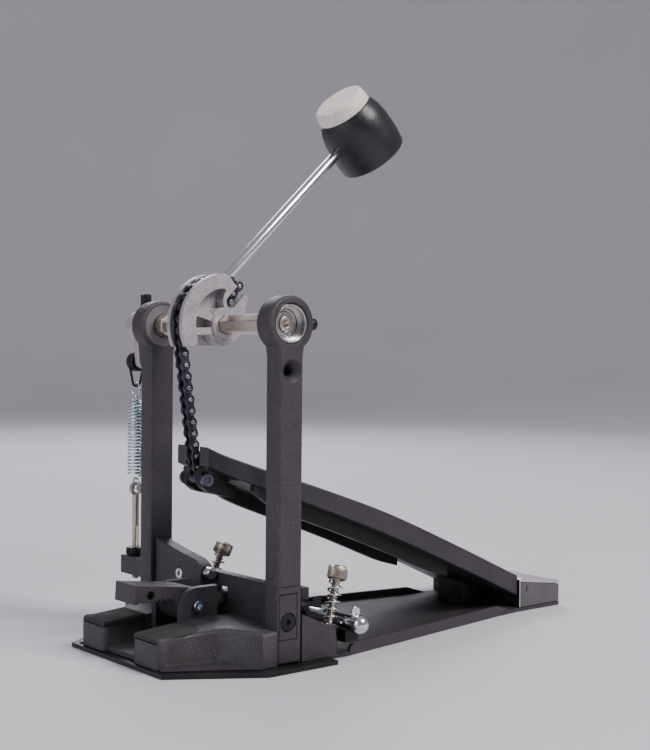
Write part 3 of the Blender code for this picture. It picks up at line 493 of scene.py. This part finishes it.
def build_posts():
    for side, word in SIDES:
        joint = math.degrees(math.acos(POST_HALF / RING_RADIUS))
        outline = [(-POST_HALF, 2.7), (POST_HALF, 2.7), (POST_HALF, 172.0)]
        outline += arc((0.0, AXLE_Z), RING_RADIUS, -joint + 4, 180 + joint - 4, 72) + [(-POST_HALF, 172.0)]
        post = prism(outline, "X", POST_INNER, POST_OUTER, 1.8, 5)
        width = POST_OUTER - POST_INNER
        post = cut(post,
                   turned((POST_INNER - 2, 0, AXLE_Z), ALONG_X,
                          ((0, 13.0), (2.4, 11.6), (3.2, 11.2), (width + 1.2, 11.2), (width + 1.8, 11.7),
                           (width + 4, 14.2)), RING_SIDES),
                   turned((POST_OUTER - 9.0, 0, RECESS_Z), ALONG_X,
                          ((0, 3.0), (5.0, 3.1), (5.6, 3.5), (8.4, 5.8), (8.9, 6.4), (10.0, 7.9)), 48))
        if side > 0:
            post = cut(post, block(POST_OUTER - 3.2, POST_OUTER + 2, -7.3, 5.2, 16.0, 41.7, 0.3),
                       block(POST_OUTER - 0.5, POST_OUTER + 2, -6.0, 5.6, 45.2, 45.7))
        place(f"{word}_post_look", on_side(post, side), "powder_coat", "base",
              (f"{word}_post",), 0.25)
        bearing = build_bearing()
        place(f"{word}_bearing_look", on_side(bearing, side), "bright_steel", "base",
              (f"{word}_bearing",), 0.12, extra="washer_grey")
        stud = cut(rod((STUD_X, 15.5, AXLE_Z), (STUD_X, 19.7, AXLE_Z), 3.4, 40, 0.6),
                   rod((STUD_X, 18.0, AXLE_Z), (STUD_X, 22, AXLE_Z), 1.5, 6))
        place(f"{word}_stud_look", on_side(stud, side), "black_steel", "base",
              (f"{word}_bearing_stud",), 0.1)
    screw = cut(along_x(POST_OUTER - 2.1, POST_OUTER - 0.2, *PANEL_SCREW, 5.0, 48, 0.45),
                along_x(POST_OUTER - 1.6, POST_OUTER + 1, *PANEL_SCREW, 1.8, 6))
    place("panel_screw_look", screw, "black_steel", "base", ("panel_screw",), 0.08)
    recast("post_panel", "powder_coat", "base", 0.35)


def build_base():
    for name, look, soften in (("sole_plate", "black_steel", 0.4), ("stabiliser_plate", "powder_coat", 0.35),
                               ("frame_casting", "powder_coat", 0.9), ("brace_boss", "powder_coat", 1.0),
                               ("spring_lug", "powder_coat", 1.2), ("screw_cradle", "black_steel", 0.8),
                               ("heel_block", "heel_grey", 0.5)):
        recast(name, look, "base", soften)
    # The heel cap is silver; its front faces are painted dark with black_steel as painted shade for the
    # shadow under the footboard.
    recast("heel_cap", "silver_cap", "base", 0.5, front="black_steel")
    recast("heel_support", "black_steel", "base", 0.8)
    recast("clamp_wedge", "black_steel", "clamp_wedge", 0.5)
    recast("toe_bracket", "black_steel", "footboard", 0.8)
    x, z = BRACE_SCREW
    screw = cut(rod((x, -3.5, z), (x, -5.2, z), 3.6, 40, 0.4), rod((x, -4.2, z), (x, -9, z), 1.7, 6))
    place("brace_screw_look", screw, "chrome", "base", ("brace_screw",), 0.08)
    bushing = turned((-14.0, -0.5, 42.5), ALONG_X,
                     ((0, 2.3), (5.8, 2.3), (5.9, 3.3), (6.3, 3.5), (8.2, 3.5), (8.5, 3.1), (8.8, 3.5),
                      (11.5, 3.5), (12.0, 3.1)), 40)
    place("brace_bushing_look", bushing, "chrome", "base", ("brace_bushing",))
    place("heel_pin_look", along_x(-29.7, 29.7, *HINGE, 2.15, 32, 0.4), "bright_steel", "base", ("heel_pin",))


def build_toe_pads():
    """Ribbed pads: each section along the pad is a comb of teeth, drawn in at both ends."""
    teeth, inner, width, base = 7, 16.0, 23.7, 16.7
    front, length, sections = -65.9, 27.6, 24
    pitch = width / teeth
    for side, word in SIDES:
        rings = []
        for k in range(sections + 1):
            t = k / sections
            y, top = front + length * t, 19.4 + 2.2 * t
            end = min(t, 1 - t) * length
            drop = 0.5 * max(0.0, 1 - end / 0.6)
            ring = [(inner, base), (inner + width, base)]
            for i in range(teeth, 0, -1):
                x = inner + pitch * i
                ring += [(x, top - 1.1 - drop), (x - pitch * 0.25, top - 0.12 - drop),
                         (x - pitch * 0.35, top - drop), (x - pitch * 0.65, top - drop),
                         (x - pitch * 0.75, top - 0.12 - drop)]
            ring.append((inner, top - 1.1 - drop))
            rings.append([Vector((x, y, z)) for x, z in ring])
        pad = loft(rings)
        place(f"{word}_pad_look", on_side(pad, side), "rubber", "base", (f"{word}_toe_pad",), 0.12)


def build_clamp():
    recast("clamp_jaw", "powder_coat", "clamp_jaw", 0.8)
    bolt = cut(turned((-17.5, *JAW_BOLT), ALONG_X,
                      ((0, 2.1), (0.4, 2.4), (33.8, 2.4), (33.8, 3.0), (34.1, 3.3), (35.9, 3.3), (36.4, 2.9)),
                      40),
               along_x(17.2, 20, *JAW_BOLT, 1.7, 6))
    place("jaw_bolt_look", bolt, "blue_zinc", "base", ("jaw_bolt",), 0.06)
    dome = [(76.4 + 5.6 * math.sin(math.radians(a)), 5.5 * math.cos(math.radians(a)))
            for a in range(0, 85, 7)]
    screw = gather(thread((0, *SCREW_AXIS), ALONG_X, 4.0, 32.0, 2.9, 1.25, 0.5),
                   turned((0, *SCREW_AXIS), ALONG_X,
                          [(31.0, 3.0), (31.2, 3.6), (32.4, 4.0), (52.0, 4.0), (52.3, 3.7), (52.9, 3.7),
                           (53.2, 4.0), (74.4, 4.0), (74.7, 4.8), (75.1, 5.3), (75.7, 5.5)] + dome, 56))
    y, z = SCREW_AXIS
    thumb = [(y - 2.6, z), (y + 2.6, z)] + arc((y, z + 7.0), 3.0, 0, 180, 24)
    screw = gather(screw, prism(thumb, "X", 72.0, 73.9, 0.6))
    place("clamp_screw_look", screw, "chrome", "clamp_screw", ("clamp_screw",))


def spur_point(side, along):
    point = SPUR_FOOT + SPUR_AXIS * along
    return Vector((side * point.x, point.y, point.z))


def build_spurs():
    for side, word in SIDES:
        foot = spur_point(side, 0.0)
        up = spur_point(side, 1.0) - foot
        knob = knurl(foot, up, ((25.6, 4.2, 0), (26.3, 5.4, 0.4), (26.9, 6.0, 1), (32.9, 6.0, 1),
                                (33.5, 5.4, 0.4), (33.8, 4.4, 0)), 36, 0.45)
        spur = gather(knob, thread(foot, up, -16.4, 25.8, 2.35, 1.0, 0.38),
                      turned(foot, up, ((-19.7, 0.3), (-16.2, 2.0)), 32),
                      turned(foot, up, ((33.7, 3.4), (34.0, 2.9), (34.05, 0.5)), 40))
        place(f"{word}_spur_look", spur, "satin_nickel", f"{word}_spur", (f"{word}_spur",))
        washer = turned(foot, up, ((-1.1, 2.9), (-1.1, 4.3), (-0.9, 4.6), (-0.4, 4.6), (-0.2, 4.3),
                                   (-0.2, 2.9)), 48, closed=True)
        place(f"{word}_washer_look", washer, "chrome", "base", (f"{word}_spur_washer",))
        across, over = frame_of(up)
        turns, low, high = 5.5, 0.6, 25.0
        path = []
        for i in range(int(turns * COIL_STEPS) + 1):
            t = i / (turns * COIL_STEPS)
            share = 0.04 * min(t * turns, 1) + 0.92 * t + 0.04 * max(t * turns - turns + 1, 0)
            level = low + (high - low) * share
            a = 2 * math.pi * turns * t
            path.append(foot + up.normalized() * level + (across * math.cos(a) + over * math.sin(a)) * 3.75)
        spring = place(f"{word}_coil_look", wire(path, 0.6), "chrome", "base", (f"{word}_spur_spring",))
        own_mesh(spring)


def chain_pin(index):
    """Pin centre; negative numbers run down to the footboard, the others wrap the cam."""
    dy, dz = CHAIN_ANCHOR[0], CHAIN_ANCHOR[1] - AXLE_Z
    distance = math.hypot(dy, dz)
    tangent = math.atan2(dz, -dy) + math.acos(PIN_CIRCLE / distance)
    pitch = math.sqrt(distance**2 - PIN_CIRCLE**2) / RUN_LINKS
    step = 2 * math.asin(pitch / 2 / PIN_CIRCLE)
    angle = tangent + step * min(max(index, 0), WRAP_END)
    y, z = -PIN_CIRCLE * math.cos(angle), AXLE_Z + PIN_CIRCLE * math.sin(angle)
    if index < 0:
        part = -index / RUN_LINKS
        return (y + (CHAIN_ANCHOR[0] - y) * part, z + (CHAIN_ANCHOR[1] - z) * part)
    if index > WRAP_END:
        part = (index - WRAP_END) / 2
        return (y + (SLOT_PIN[0] - y) * part, z + (AXLE_Z + SLOT_PIN[1] - z) * part)
    return (y, z)


def link_outline(start, end):
    """Side plate of a link: a round boss at each pin and a waist between them."""
    boss, waist = 3.0, 2.15
    heading = math.degrees(math.atan2(end[1] - start[1], end[0] - start[0]))
    across = math.radians(heading + 90)
    middle = ((start[0] + end[0]) / 2, (start[1] + end[1]) / 2)
    outline = []
    for point, turn, sign in ((end, 0, 1), (start, 180, -1)):
        outline += arc(point, boss, heading + turn - 112, heading + turn + 112, 16)
        outline.append((middle[0] + sign * waist * math.cos(across),
                        middle[1] + sign * waist * math.sin(across)))
    return outline


def link_parts(index):
    """Plates, rollers and pins of the link between pins index and index + 1."""
    first, last = chain_pin(index), chain_pin(index + 1)
    parts = []
    if index % 2 == 0:
        for x0, x1 in ((-2.35, -1.45), (1.45, 2.35)):
            parts.append((prism(link_outline(first, last), "X", x0, x1, 0.2, 2), 0))
        for y, z in (first, last):
            parts.append((along_x(-1.5, 1.5, y, z, 2.05, 24), 0))
    else:
        for x0, x1 in ((-3.6, -2.6), (2.6, 3.6)):
            parts.append((prism(link_outline(first, last), "X", x0, x1, 0.2, 2), 0))
        for y, z in (first, last):
            pin = turned((-4.45, y, z), ALONG_X,
                         ((0, 0.7), (0.25, 1.2), (0.6, 1.4), (8.3, 1.4), (8.65, 1.2), (8.9, 0.7)), 24)
            parts.append((pin, 1))
            for x0, x1 in ((-3.85, -3.55), (3.55, 3.85)):
                parts.append((along_x(x0, x1, y, z, 2.1, 24, 0.1), 0))
    return parts


def build_chain():
    y, z = chain_pin(WRAP_END + 2)
    parts = [part for index in range(TRANSIT_LINKS, WRAP_END + 2) for part in link_parts(index)]
    parts.append((along_x(-8.2, 8.4, y, z, 1.7, 24, 0.3), 1))
    place("chain_wrap_look", gather(*parts), "chain_steel", "axle", ("chain_wrap",), extra="pin_steel")
    for index in range(TRANSIT_LINKS):
        number = index + 1
        place(f"chain_link_{number}_look", gather(*link_parts(index)), "chain_steel", f"link_{number}",
              (f"chain_link_{number}",), extra="pin_steel")
    run = [part for index in range(1 - RUN_LINKS, 0) for part in link_parts(index)]
    place("chain_run_look", gather(*run), "chain_steel", "chain_run", ("chain_run",), extra="pin_steel")
    end = link_parts(-RUN_LINKS)
    end.append((along_x(-3.6, 3.6, *CHAIN_ANCHOR, 2.9, 28, 0.2), 0))
    place("chain_end_look", gather(*end), "chain_steel", "footboard", ("chain_end_link",), extra="pin_steel")


def polar(radius, degrees):
    """Point round the axle; 0 degrees is straight ahead, towards the drum."""
    angle = math.radians(degrees)
    return (-radius * math.cos(angle), AXLE_Z + radius * math.sin(angle))


def sweep(radius, start, end, steps):
    return [polar(radius, start + (end - start) * i / steps) for i in range(steps + 1)]


def from_axle(*points):
    """Points given from the axle's centre."""
    return [(y, AXLE_Z + z) for y, z in points]


def hexagon(x0, x1, corner, turn, rim=0.0):
    """Hexagonal bar on the axle line."""
    angles = (math.radians(60 * i - turn) for i in range(6))
    return prism([(corner * math.sin(a), AXLE_Z + corner * math.cos(a)) for a in angles], "X", x0, x1, rim)


def rounded(points, radius, ends=True):
    """Round the corners of an outline; an open run keeps its two end points."""
    steps = 4
    result = []
    count = len(points)
    for i, point in enumerate(points):
        p = Vector(point)
        a, b = Vector(points[i - 1]) - p, Vector(points[(i + 1) % count]) - p
        reach = min(radius, a.length * 0.45, b.length * 0.45)
        loose = not ends and i in (0, count - 1)
        if loose or reach < 0.15 or a.angle(b) > math.radians(165):
            result.append(tuple(p))
            continue
        start, end = p + a.normalized() * reach, p + b.normalized() * reach
        for k in range(steps + 1):
            t = k / steps
            result.append(tuple(start * (1 - t) ** 2 + p * (2 * t * (1 - t)) + end * t ** 2))
    return result


def build_cam():
    rear = from_axle((2.2, 29.3), (7.4, 23.6), (10.9, 22.2), (14.3, 18.6), (17.1, 15.7), (15.8, 12.8),
                     (14.0, 10.4), (14.9, 5.8), (14.4, 0.0), (11.8, -5.5), (7.7, -8.8))
    hub_foot = from_axle((2.0, -10.6), (-4.0, -10.2), (-8.4, -5.6))
    rim = sweep(CAM_RADIUS, -25.5, 90, 72)
    near = rim + rounded(rear + hub_foot, 2.0, False) + from_axle((-19.6, -6.2), (-18.8, -11.7))
    far = rim + rounded(rear, 2.0, False) + from_axle((2.0, -12.2), (-18.8, -12.2))
    near_flange = prism(near, "X", 4.8, 8.0)
    far_flange = prism(far, "X", -8.0, -4.8)
    drum_rear = from_axle((10.9, 19.5), (14.0, 12.0), (14.9, 5.8), (14.4, 0.0), (11.8, -5.5), (7.7, -8.8),
                          (3.0, -12.2))
    drum = prism(sweep(23.4, -31.4, 116, 64) + drum_rear, "X", -5.2, 5.2)
    crescent = sweep(21.3, 30, 87, 20) + from_axle((1.2, 20.6), (-0.8, 17.6), (-1.5, 14.2), (-0.6, 10.4)) \
        + sweep(10.4, 90, 34, 12)
    lower = from_axle((-20.2, 4.9), (-9.4, 2.1), (-9.4, -1.6), (-20.6, -2.0))
    heading = Vector((0.69, 0.72)).normalized()
    across = Vector((-heading.y, heading.x)) * 3.6
    pin = Vector((SLOT_PIN[0], AXLE_Z + SLOT_PIN[1]))
    out = pin + heading * 30
    turn = math.degrees(math.atan2(heading.y, heading.x))
    slot = arc(pin, 3.6, turn + 90, turn + 270, 20) + [tuple(out - across), tuple(out + across)]
    boss = turned((7.5, 0, AXLE_Z), ALONG_X, ((0, 9.4), (1.6, 9.4), (2.0, 9.0)), 72)
    hollow = from_axle((-25.0, -6.6), (-8.8, -6.2), (-4.0, -10.6), (-1.0, -14.0), (-25.0, -14.0))
    hollow = prism(rounded(hollow, 0.8), "X", -1.5, 5.4)
    hub = turned((-5.0, 0, AXLE_Z), ALONG_X, ((0, 12.0), (11.8, 12.0), (12.4, 11.4)), 72)
    body = join(cut(drum, hollow), near_flange, far_flange, hub, boss)
    body = cut(body, prism(rounded(crescent, 1.2), "X", 0.8, 20), prism(rounded(lower, 1.4), "X", 0.8, 20),
               prism(slot, "X", -5.2, 20), hexagon(-20, 20, AXLE_CORNER + 0.3, AXLE_TURN))
    place("cam_look", body, "satin_cast_aluminium", "axle", ("cam",), 0.45, steps=3)


def rod_frame():
    heading = Vector((0, math.sin(BEATER_TILT), math.cos(BEATER_TILT)))
    strike = Vector((0, -math.cos(BEATER_TILT), math.sin(BEATER_TILT)))
    return Vector((BEATER_X, 0, AXLE_Z)) + strike * ROD_OFFSET, heading, strike


def square_head(base, direction, low, high, half):
    """Square key head with chamfered corners."""
    profile = ((low, half * 1.3), (low + 0.2, half * 1.38), (high - 0.7, half * 1.38), (high, half * 1.1))
    return turned(base, direction, profile, 4, math.pi / 4)


def build_axle():
    bar = join(hexagon(-49.5, POST_INNER - 1.2, AXLE_CORNER, AXLE_TURN, 0.6),
               along_x(-97.0, POST_OUTER - 5.4, 0, AXLE_Z, JOURNAL, 56, 0.7))
    bar = cut(bar, turned((POST_OUTER - 8.4, 0, AXLE_Z), ALONG_X, ((0, 1.0), (1.4, 1.6), (3.2, 2.2)), 40))
    place("hex_axle_look", bar, "satin_nickel", "axle", ("hex_axle",), 0.35)
    collar = join(hexagon(-57.0, -49.9, 7.9, 0.0, 0.7),
                  turned((-58.2, 0, AXLE_Z), ALONG_X, ((0, 6.6), (0.3, 6.9), (1.6, 6.9)), 48))
    place("axle_collar_look", collar, "satin_nickel", "axle", ("axle_collar",), 0.2)
    build_cam()
    foot, heading, _ = rod_frame()
    holder = turned((-22.4, 0, AXLE_Z), ALONG_X,
                    ((0, 10.4), (0.4, 11.2), (1.2, 11.6), (13.0, 11.6), (13.8, 11.2), (14.0, 10.6)), 72)
    holder = join(holder, rod(foot - heading * 11.5, foot + heading * 11.5, 6.6, 56, 1.0))
    holder = cut(holder, rod(foot - heading * 30, foot + heading * 30, 3.25, 40),
                 block(-8.3, 5, -40, 40, 150, 230))
    place("beater_holder_look", holder, "satin_cast_aluminium", "axle", ("beater_holder",), 0.4)
    base = Vector((-22.9, foot.y, foot.z))
    bolt = gather(rod(base, base + Vector((-2.0, 0, 0)), 4.2, 40, 0.4),
                  square_head(base, (-1, 0, 0), 1.8, 8.5, 2.75))
    place("beater_key_look", bolt, "satin_nickel", "axle", ("beater_key_bolt",), 0.2)

    arm = arc((0, ROLLER_Z), 4.2, 0, -180, 28) + [(-5.6, AXLE_Z - 7.8), (-6.2, AXLE_Z), (6.2, AXLE_Z),
                                                  (5.6, AXLE_Z - 7.8)]
    rocker = join(turned((-88.5, 0, AXLE_Z), ALONG_X, ((0, 8.6), (0.9, 9.6), (15.4, 9.6), (16.3, 8.7)), 64),
                  prism(arm, "X", -85.5, -80.0, 0.7))
    rocker = cut(rocker, along_x(-110, -60, 0, AXLE_Z, JOURNAL + 0.15, 48))
    place("spring_rocker_look", rocker, "satin_cast_aluminium", "axle", ("spring_rocker",), 0.4)
    top = AXLE_Z + 9.9
    key = gather(rod((-79, 0, top), (-79, 0, top + 2.0), 4.0, 40, 0.4),
                 square_head((-79, 0, top), (0, 0, 1), 1.8, 10.6, 2.65))
    place("rocker_key_look", key, "dark_key", "axle", ("rocker_key_bolt",), 0.2)
    roller = turned((-93.4, 0, ROLLER_Z), ALONG_X,
                    ((0, 5.2), (0.5, 6.0), (1.0, 6.2), (1.9, 6.2), (2.3, 5.6), (2.6, 4.7), (3.4, 4.5),
                     (4.2, 4.7), (4.5, 5.6), (4.9, 6.2), (6.2, 6.2), (7.0, 5.8)), 56)
    roller = gather(roller, along_x(-94.0, -80.4, 0, ROLLER_Z, 1.6, 28, 0.3))
    place("spring_roller_look", roller, "black_steel", "axle", ("spring_roller",))


def build_beater():
    foot, heading, strike = rod_frame()
    head = foot + heading * BEATER_REACH
    place("beater_rod_look", rod(foot - heading * 15, head + heading * 6, 3.1, 56, 0.5), "chrome", "beater",
          ("beater_rod",))
    shape = ((-19.6, 22.7), (-14.0, 23.2), (-8.0, 23.3), (0.0, 22.9), (4.0, 22.4), (8.0, 21.6), (12.0, 20.2),
             (15.6, 18.4))
    profile = [(-21.5, 2.0), (-21.5, 10.0), (-21.5, 20.3)]
    profile += [(-19.4 - 2.1 * math.sin(math.radians(a)), 20.7 + 2.1 * math.cos(math.radians(a)))
                for a in range(85, 4, -10)]
    for i in range(49):
        along = -19.4 + 35.0 * i / 48
        profile.append((along, smooth_line(shape, along)))
    profile += [(15.65, 17.6), (15.65, 8.0), (15.65, 2.0)]
    place("beater_core_look", turned(head, strike, profile, 112), "beater_core", "beater",
          ("beater_core",), sharp=50)
    felt = [(15.75, 1.0), (15.75, 9.0), (15.75, 17.4), (16.1, 17.9)]
    felt += [(16.4 + 6.0 * i / 8, 18.0 - 0.6 * (i / 8) ** 2) for i in range(9)]
    felt += [(22.4 + 2.6 * math.sin(math.radians(a)), 14.8 + 2.6 * math.cos(math.radians(a)))
             for a in range(10, 91, 8)]
    felt += [(25.1, 12.0), (25.3, 8.0), (25.38, 4.0), (25.4, 0.5)]
    disc = turned(head, strike, felt, 128)
    for vertex in disc.verts:
        coarse = noise.noise(vertex.co * 0.35)
        fine = noise.noise(vertex.co * 1.7)
        vertex.co += (vertex.co - head - strike * 21).normalized() * (coarse * 0.22 + fine * 0.1 - 0.1)
    place("beater_felt_look", disc, "felt", "beater", ("beater_felt",), sharp=70)
    random.seed(4)
    side, up = frame_of(strike)
    hairs = []
    for _ in range(FELT_HAIRS):
        around = random.uniform(0, 2 * math.pi)
        face = random.random()
        out = side * math.cos(around) + up * math.sin(around)
        if face < 0.6:
            root = head + strike * random.uniform(16.4, 22.0) + out * 17.2
            lean = out * random.uniform(0.3, 0.9) + strike * random.uniform(-0.8, 0.8)
        else:
            root = head + strike * 25.0 + out * 13.0 * math.sqrt(random.random())
            lean = strike * random.uniform(0.2, 0.6) + out * random.uniform(-0.9, 0.9)
        bend = Vector((random.uniform(-1, 1), random.uniform(-1, 1), random.uniform(-1, 1))) * 0.4
        path = [root, root + lean * 0.35 + bend * 0.3, root + lean * 0.6 + bend]
        hairs.append(wire(path, 0.035, sides=3))
    place("felt_fibres", gather(*hairs), "felt", "beater")


def build_spring():
    stirrup = [Vector((SPRING_X, y, z)) for y, z in
               arc((0, ROLLER_Z), 5.6, -10, 190, 40) + arc((0, ROLLER_Z - 12.9), 2.8, 200, 340, 24)]
    place("spring_stirrup_look", wire(stirrup, 0.8, True, 16), "black_steel", "stirrup",
          ("spring_stirrup",))
    hook_z = ROLLER_Z - 18.6
    ring = [Vector((SPRING_X + y, 0, z)) for y, z in arc((0, hook_z), 4.6, -78, 258, 56)]
    place("spring_top_look", wire(ring, 0.8, False, 16), "blue_zinc", "spring_upper", ("spring_top_hook",))
    low = [Vector((SPRING_X + y, 0, z)) for y, z in arc((0, EYE_Z + 3.4), 3.4, 102, 438, 48)]
    place("spring_bottom_look", wire(low, 0.8, False, 16), "blue_zinc", "spring_lower",
          ("spring_bottom_hook",))
    bottom, top, turns = EYE_Z + 8.6, hook_z - 5.9, 23
    path = []
    for i in range(turns * COIL_STEPS + 1):
        t = i / (turns * COIL_STEPS)
        a = 2 * math.pi * turns * t
        ends = min(t, 1 - t) * turns
        radius = 4.9 - 1.9 * max(0.0, 1 - ends / 0.5)
        path.append(Vector((SPRING_X + radius * math.cos(a), radius * math.sin(a),
                            bottom + (top - bottom) * t)))
    coil = place("return_spring_look", wire(path, 0.66, False, 10), "blue_zinc", None, ("return_spring",))
    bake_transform(coil)

    eye = turned((SPRING_X - 1.3, 0, EYE_Z), ALONG_X,
                 ((0, 2.3), (0, 4.0), (0.4, 4.4), (2.2, 4.4), (2.6, 4.0), (2.6, 2.3)), 40, closed=True)
    shank = gather(thread((SPRING_X, 0, 0), (0, 0, 1), 27.5, 62.0, 2.2, 1.0, 0.34),
                   rod((SPRING_X, 0, 61.5), (SPRING_X, 0, 81.6), 2.2, 40))
    place("tension_rod_look", gather(eye, shank), "satin_nickel", "tension_rod", ("tension_rod",))
    nut = knurl((SPRING_X, 0, 42.8), (0, 0, 1),
                ((0, 4.6, 0), (0.3, 5.6, 0.5), (0.8, 6.1, 1), (4.2, 6.1, 1), (4.7, 5.6, 0.5), (5.0, 4.6, 0)),
                32, 0.4)
    place("tension_nut_look", nut, "black_steel", "tension_nut", ("tension_nut",))


BOARD_TOP = ((-16.5, 119.2), (10.0, 107.8), (35.0, 98.6), (102.0, 75.3), (170.0, 46.9), (221.0, 24.4))
BOARD_HALF = ((-16.5, 16.0), (-6.0, 17.0), (12.0, 28.5), (35.0, 37.5), (60.0, 40.0), (221.0, 40.0))


def board_depth(y):
    """Thickness of the board at a station."""
    return smooth_line(((-16.5, 11.0), (35.0, 12.0), (102.0, 13.8), (221.0, 13.6)), y)


def board_ring(y):
    """Section of the board: rounded upper edges and shallow grip grooves along the top."""
    half, top = smooth_line(BOARD_HALF, y), smooth_line(BOARD_TOP, y)
    low = top - board_depth(y)
    ring = [(-half, low + 0.6), (-half + 0.6, low), (half - 0.6, low), (half, low + 0.6)]
    quarter = [math.radians(15 * k) for k in range(7)]
    ring += [(half - 1.5 + 1.5 * math.cos(a), top - 1.5 + 1.5 * math.sin(a)) for a in quarter]
    depth = 0.55 * min(max((y - 40.0) / 4.0, 0.0), 1.0) * min(max((198.0 - y) / 4.0, 0.0), 1.0)
    for k in range(3, -4, -1):
        x = k * 9.0 * half / 40.0
        ring += [(x + 1.3, top), (x + 0.7, top - depth), (x - 0.7, top - depth), (x - 1.3, top)]
    ring += [(-half + 1.5 - 1.5 * math.sin(a), top - 1.5 + 1.5 * math.cos(a)) for a in quarter]
    return [Vector((x, y, z)) for x, z in ring]


def build_footboard():
    stations = [-16.5 + 237.5 * i / 95 for i in range(96)]
    slab = loft([board_ring(y) for y in stations])
    slot = [(-7.0, -30.0), (7.0, -30.0)] + arc((0, 2.0), 7.0, 0, 180, 28)
    hinge_room = join(along_x(-12.7, 12.7, *HINGE, 5.5, 48),
                      block(-12.7, 12.7, HINGE[0] - 5.5, 240, 5, HINGE[1]))
    slab = cut(slab, prism(slot, "Z", 60, 140), hinge_room, along_x(-30, 30, *HINGE, 2.3, 32))
    rails = []
    for side in (1, -1):
        ys = [9.0 + 159.0 * i / 24 for i in range(25)]
        depths = ((9.0, 4.0), (22.0, 8.2), (70.0, 8.8), (110.0, 8.9), (150.0, 8.4), (168.0, 6.0))
        outline = [(y, smooth_line(BOARD_TOP, y) - board_depth(y) + 1.0) for y in ys]
        outline += [(y, smooth_line(BOARD_TOP, y) - board_depth(y) - smooth_line(depths, y))
                    for y in reversed(ys)]
        inner, outer = sorted((side * 22.0, side * 26.0))
        rails.append(prism(outline, "X", inner, outer))
    # The rails under the board are painted with the darker black_steel as painted shade for the shadow under
    # the board; the top keeps board_coat.
    board = gather(slab, (rails[0], 1), (rails[1], 1))
    place("footboard_look", board, "board_coat", "footboard", ("footboard",), 0.5, extra="black_steel")
    bolt = cut(turned((-12.2, *CHAIN_ANCHOR), ALONG_X,
                      ((0, 3.4), (0.4, 3.9), (2.3, 3.9), (2.3, 2.05), (22.1, 2.05), (22.1, 3.7), (22.4, 4.0),
                       (24.5, 4.0), (25.0, 3.6)), 48),
               along_x(12.0, 15.0, *CHAIN_ANCHOR, 2.0, 6))
    place("toe_bolt_look", bolt, "dark_bolt", "footboard", ("toe_bolt",), 0.08)


# ---------------------------------------------------------------- stage

def add_lamp(name, location, size, power, colour):
    """Round soft light that faces the pedal."""
    light = bpy.data.lights.new(name, "AREA")
    light.shape = "DISK"
    light.size = size
    light.energy = power
    light.color = colour
    item = into_scene(name, light)
    item.location = location
    aim = Vector((0.0, 0.08, 0.12)) - Vector(location)
    item.rotation_euler = aim.to_track_quat("-Z", "Y").to_euler()


def build_floor():
    """Round pale floor that curves up into a wall all the way round, in metres."""
    reach, bend, wall, sink, sides = 2.4, 1.4, 3.6, 0.0002, 96
    profile = [(reach * k / 12, 0.0) for k in range(1, 13)]
    profile += [(reach + bend * math.sin(math.radians(a)), bend - bend * math.cos(math.radians(a)))
                for a in range(5, 91, 5)]
    profile.append((reach + bend, wall))
    bm = bmesh.new()
    centre = bm.verts.new((0.0, 0.0, -sink))
    angles = [2 * math.pi * i / sides for i in range(sides)]
    rows = [[bm.verts.new((radius * math.cos(a), radius * math.sin(a), height - sink)) for a in angles]
            for radius, height in profile]
    for i in range(sides):
        j = (i + 1) % sides
        bm.faces.new((centre, rows[0][i], rows[0][j]))
        for low, high in zip(rows, rows[1:]):
            bm.faces.new((low[i], high[i], high[j], low[j]))
    mesh = mesh_of("studio_floor", bm)
    mesh.shade_smooth()
    floor = into_scene("studio_floor", mesh)
    mesh.materials.append(finish_of("studio_paper", (0.60, 0.58, 0.62), (0.63, 0.61, 0.65), 0.85, 0.0,
                                    3.0, 400.0, 0.03))


def build_stage():
    """Floor, soft lights and the camera at the photo's angle."""
    build_floor()
    add_lamp("key", (1.3, 0.55, 1.5), 0.9, 38.0, (1.0, 0.98, 0.97))
    add_lamp("fill", (0.1, -1.8, 0.9), 1.6, 16.0, (0.95, 0.96, 1.0))
    add_lamp("back", (-1.5, 0.9, 1.3), 1.1, 22.0, (0.97, 0.95, 1.0))
    world = bpy.data.worlds.new("studio")
    world.use_nodes = True
    background = world.node_tree.nodes["Background"]
    background.inputs["Color"].default_value = (0.80, 0.78, 0.84, 1)
    background.inputs["Strength"].default_value = 0.45
    bpy.context.scene.world = world

    camera = bpy.data.cameras.new("camera")
    camera.sensor_width = 36.0
    camera.lens = 61.85
    camera.shift_x = 0.0176
    camera.clip_start = 0.01
    item = into_scene("camera", camera)
    item.location = (0.6252, -0.4382, 0.1750)
    turn = Matrix.Rotation(math.radians(50.756), 4, "Z") @ Matrix.Rotation(math.radians(88.94), 4, "X") \
        @ Matrix.Rotation(math.radians(0.48), 4, "Z")
    item.rotation_euler = turn.to_euler()
    bpy.context.scene.camera = item


build_base()
build_posts()
build_toe_pads()
build_clamp()
build_spurs()
build_axle()
build_beater()
build_chain()
build_spring()
build_footboard()
build_stage()
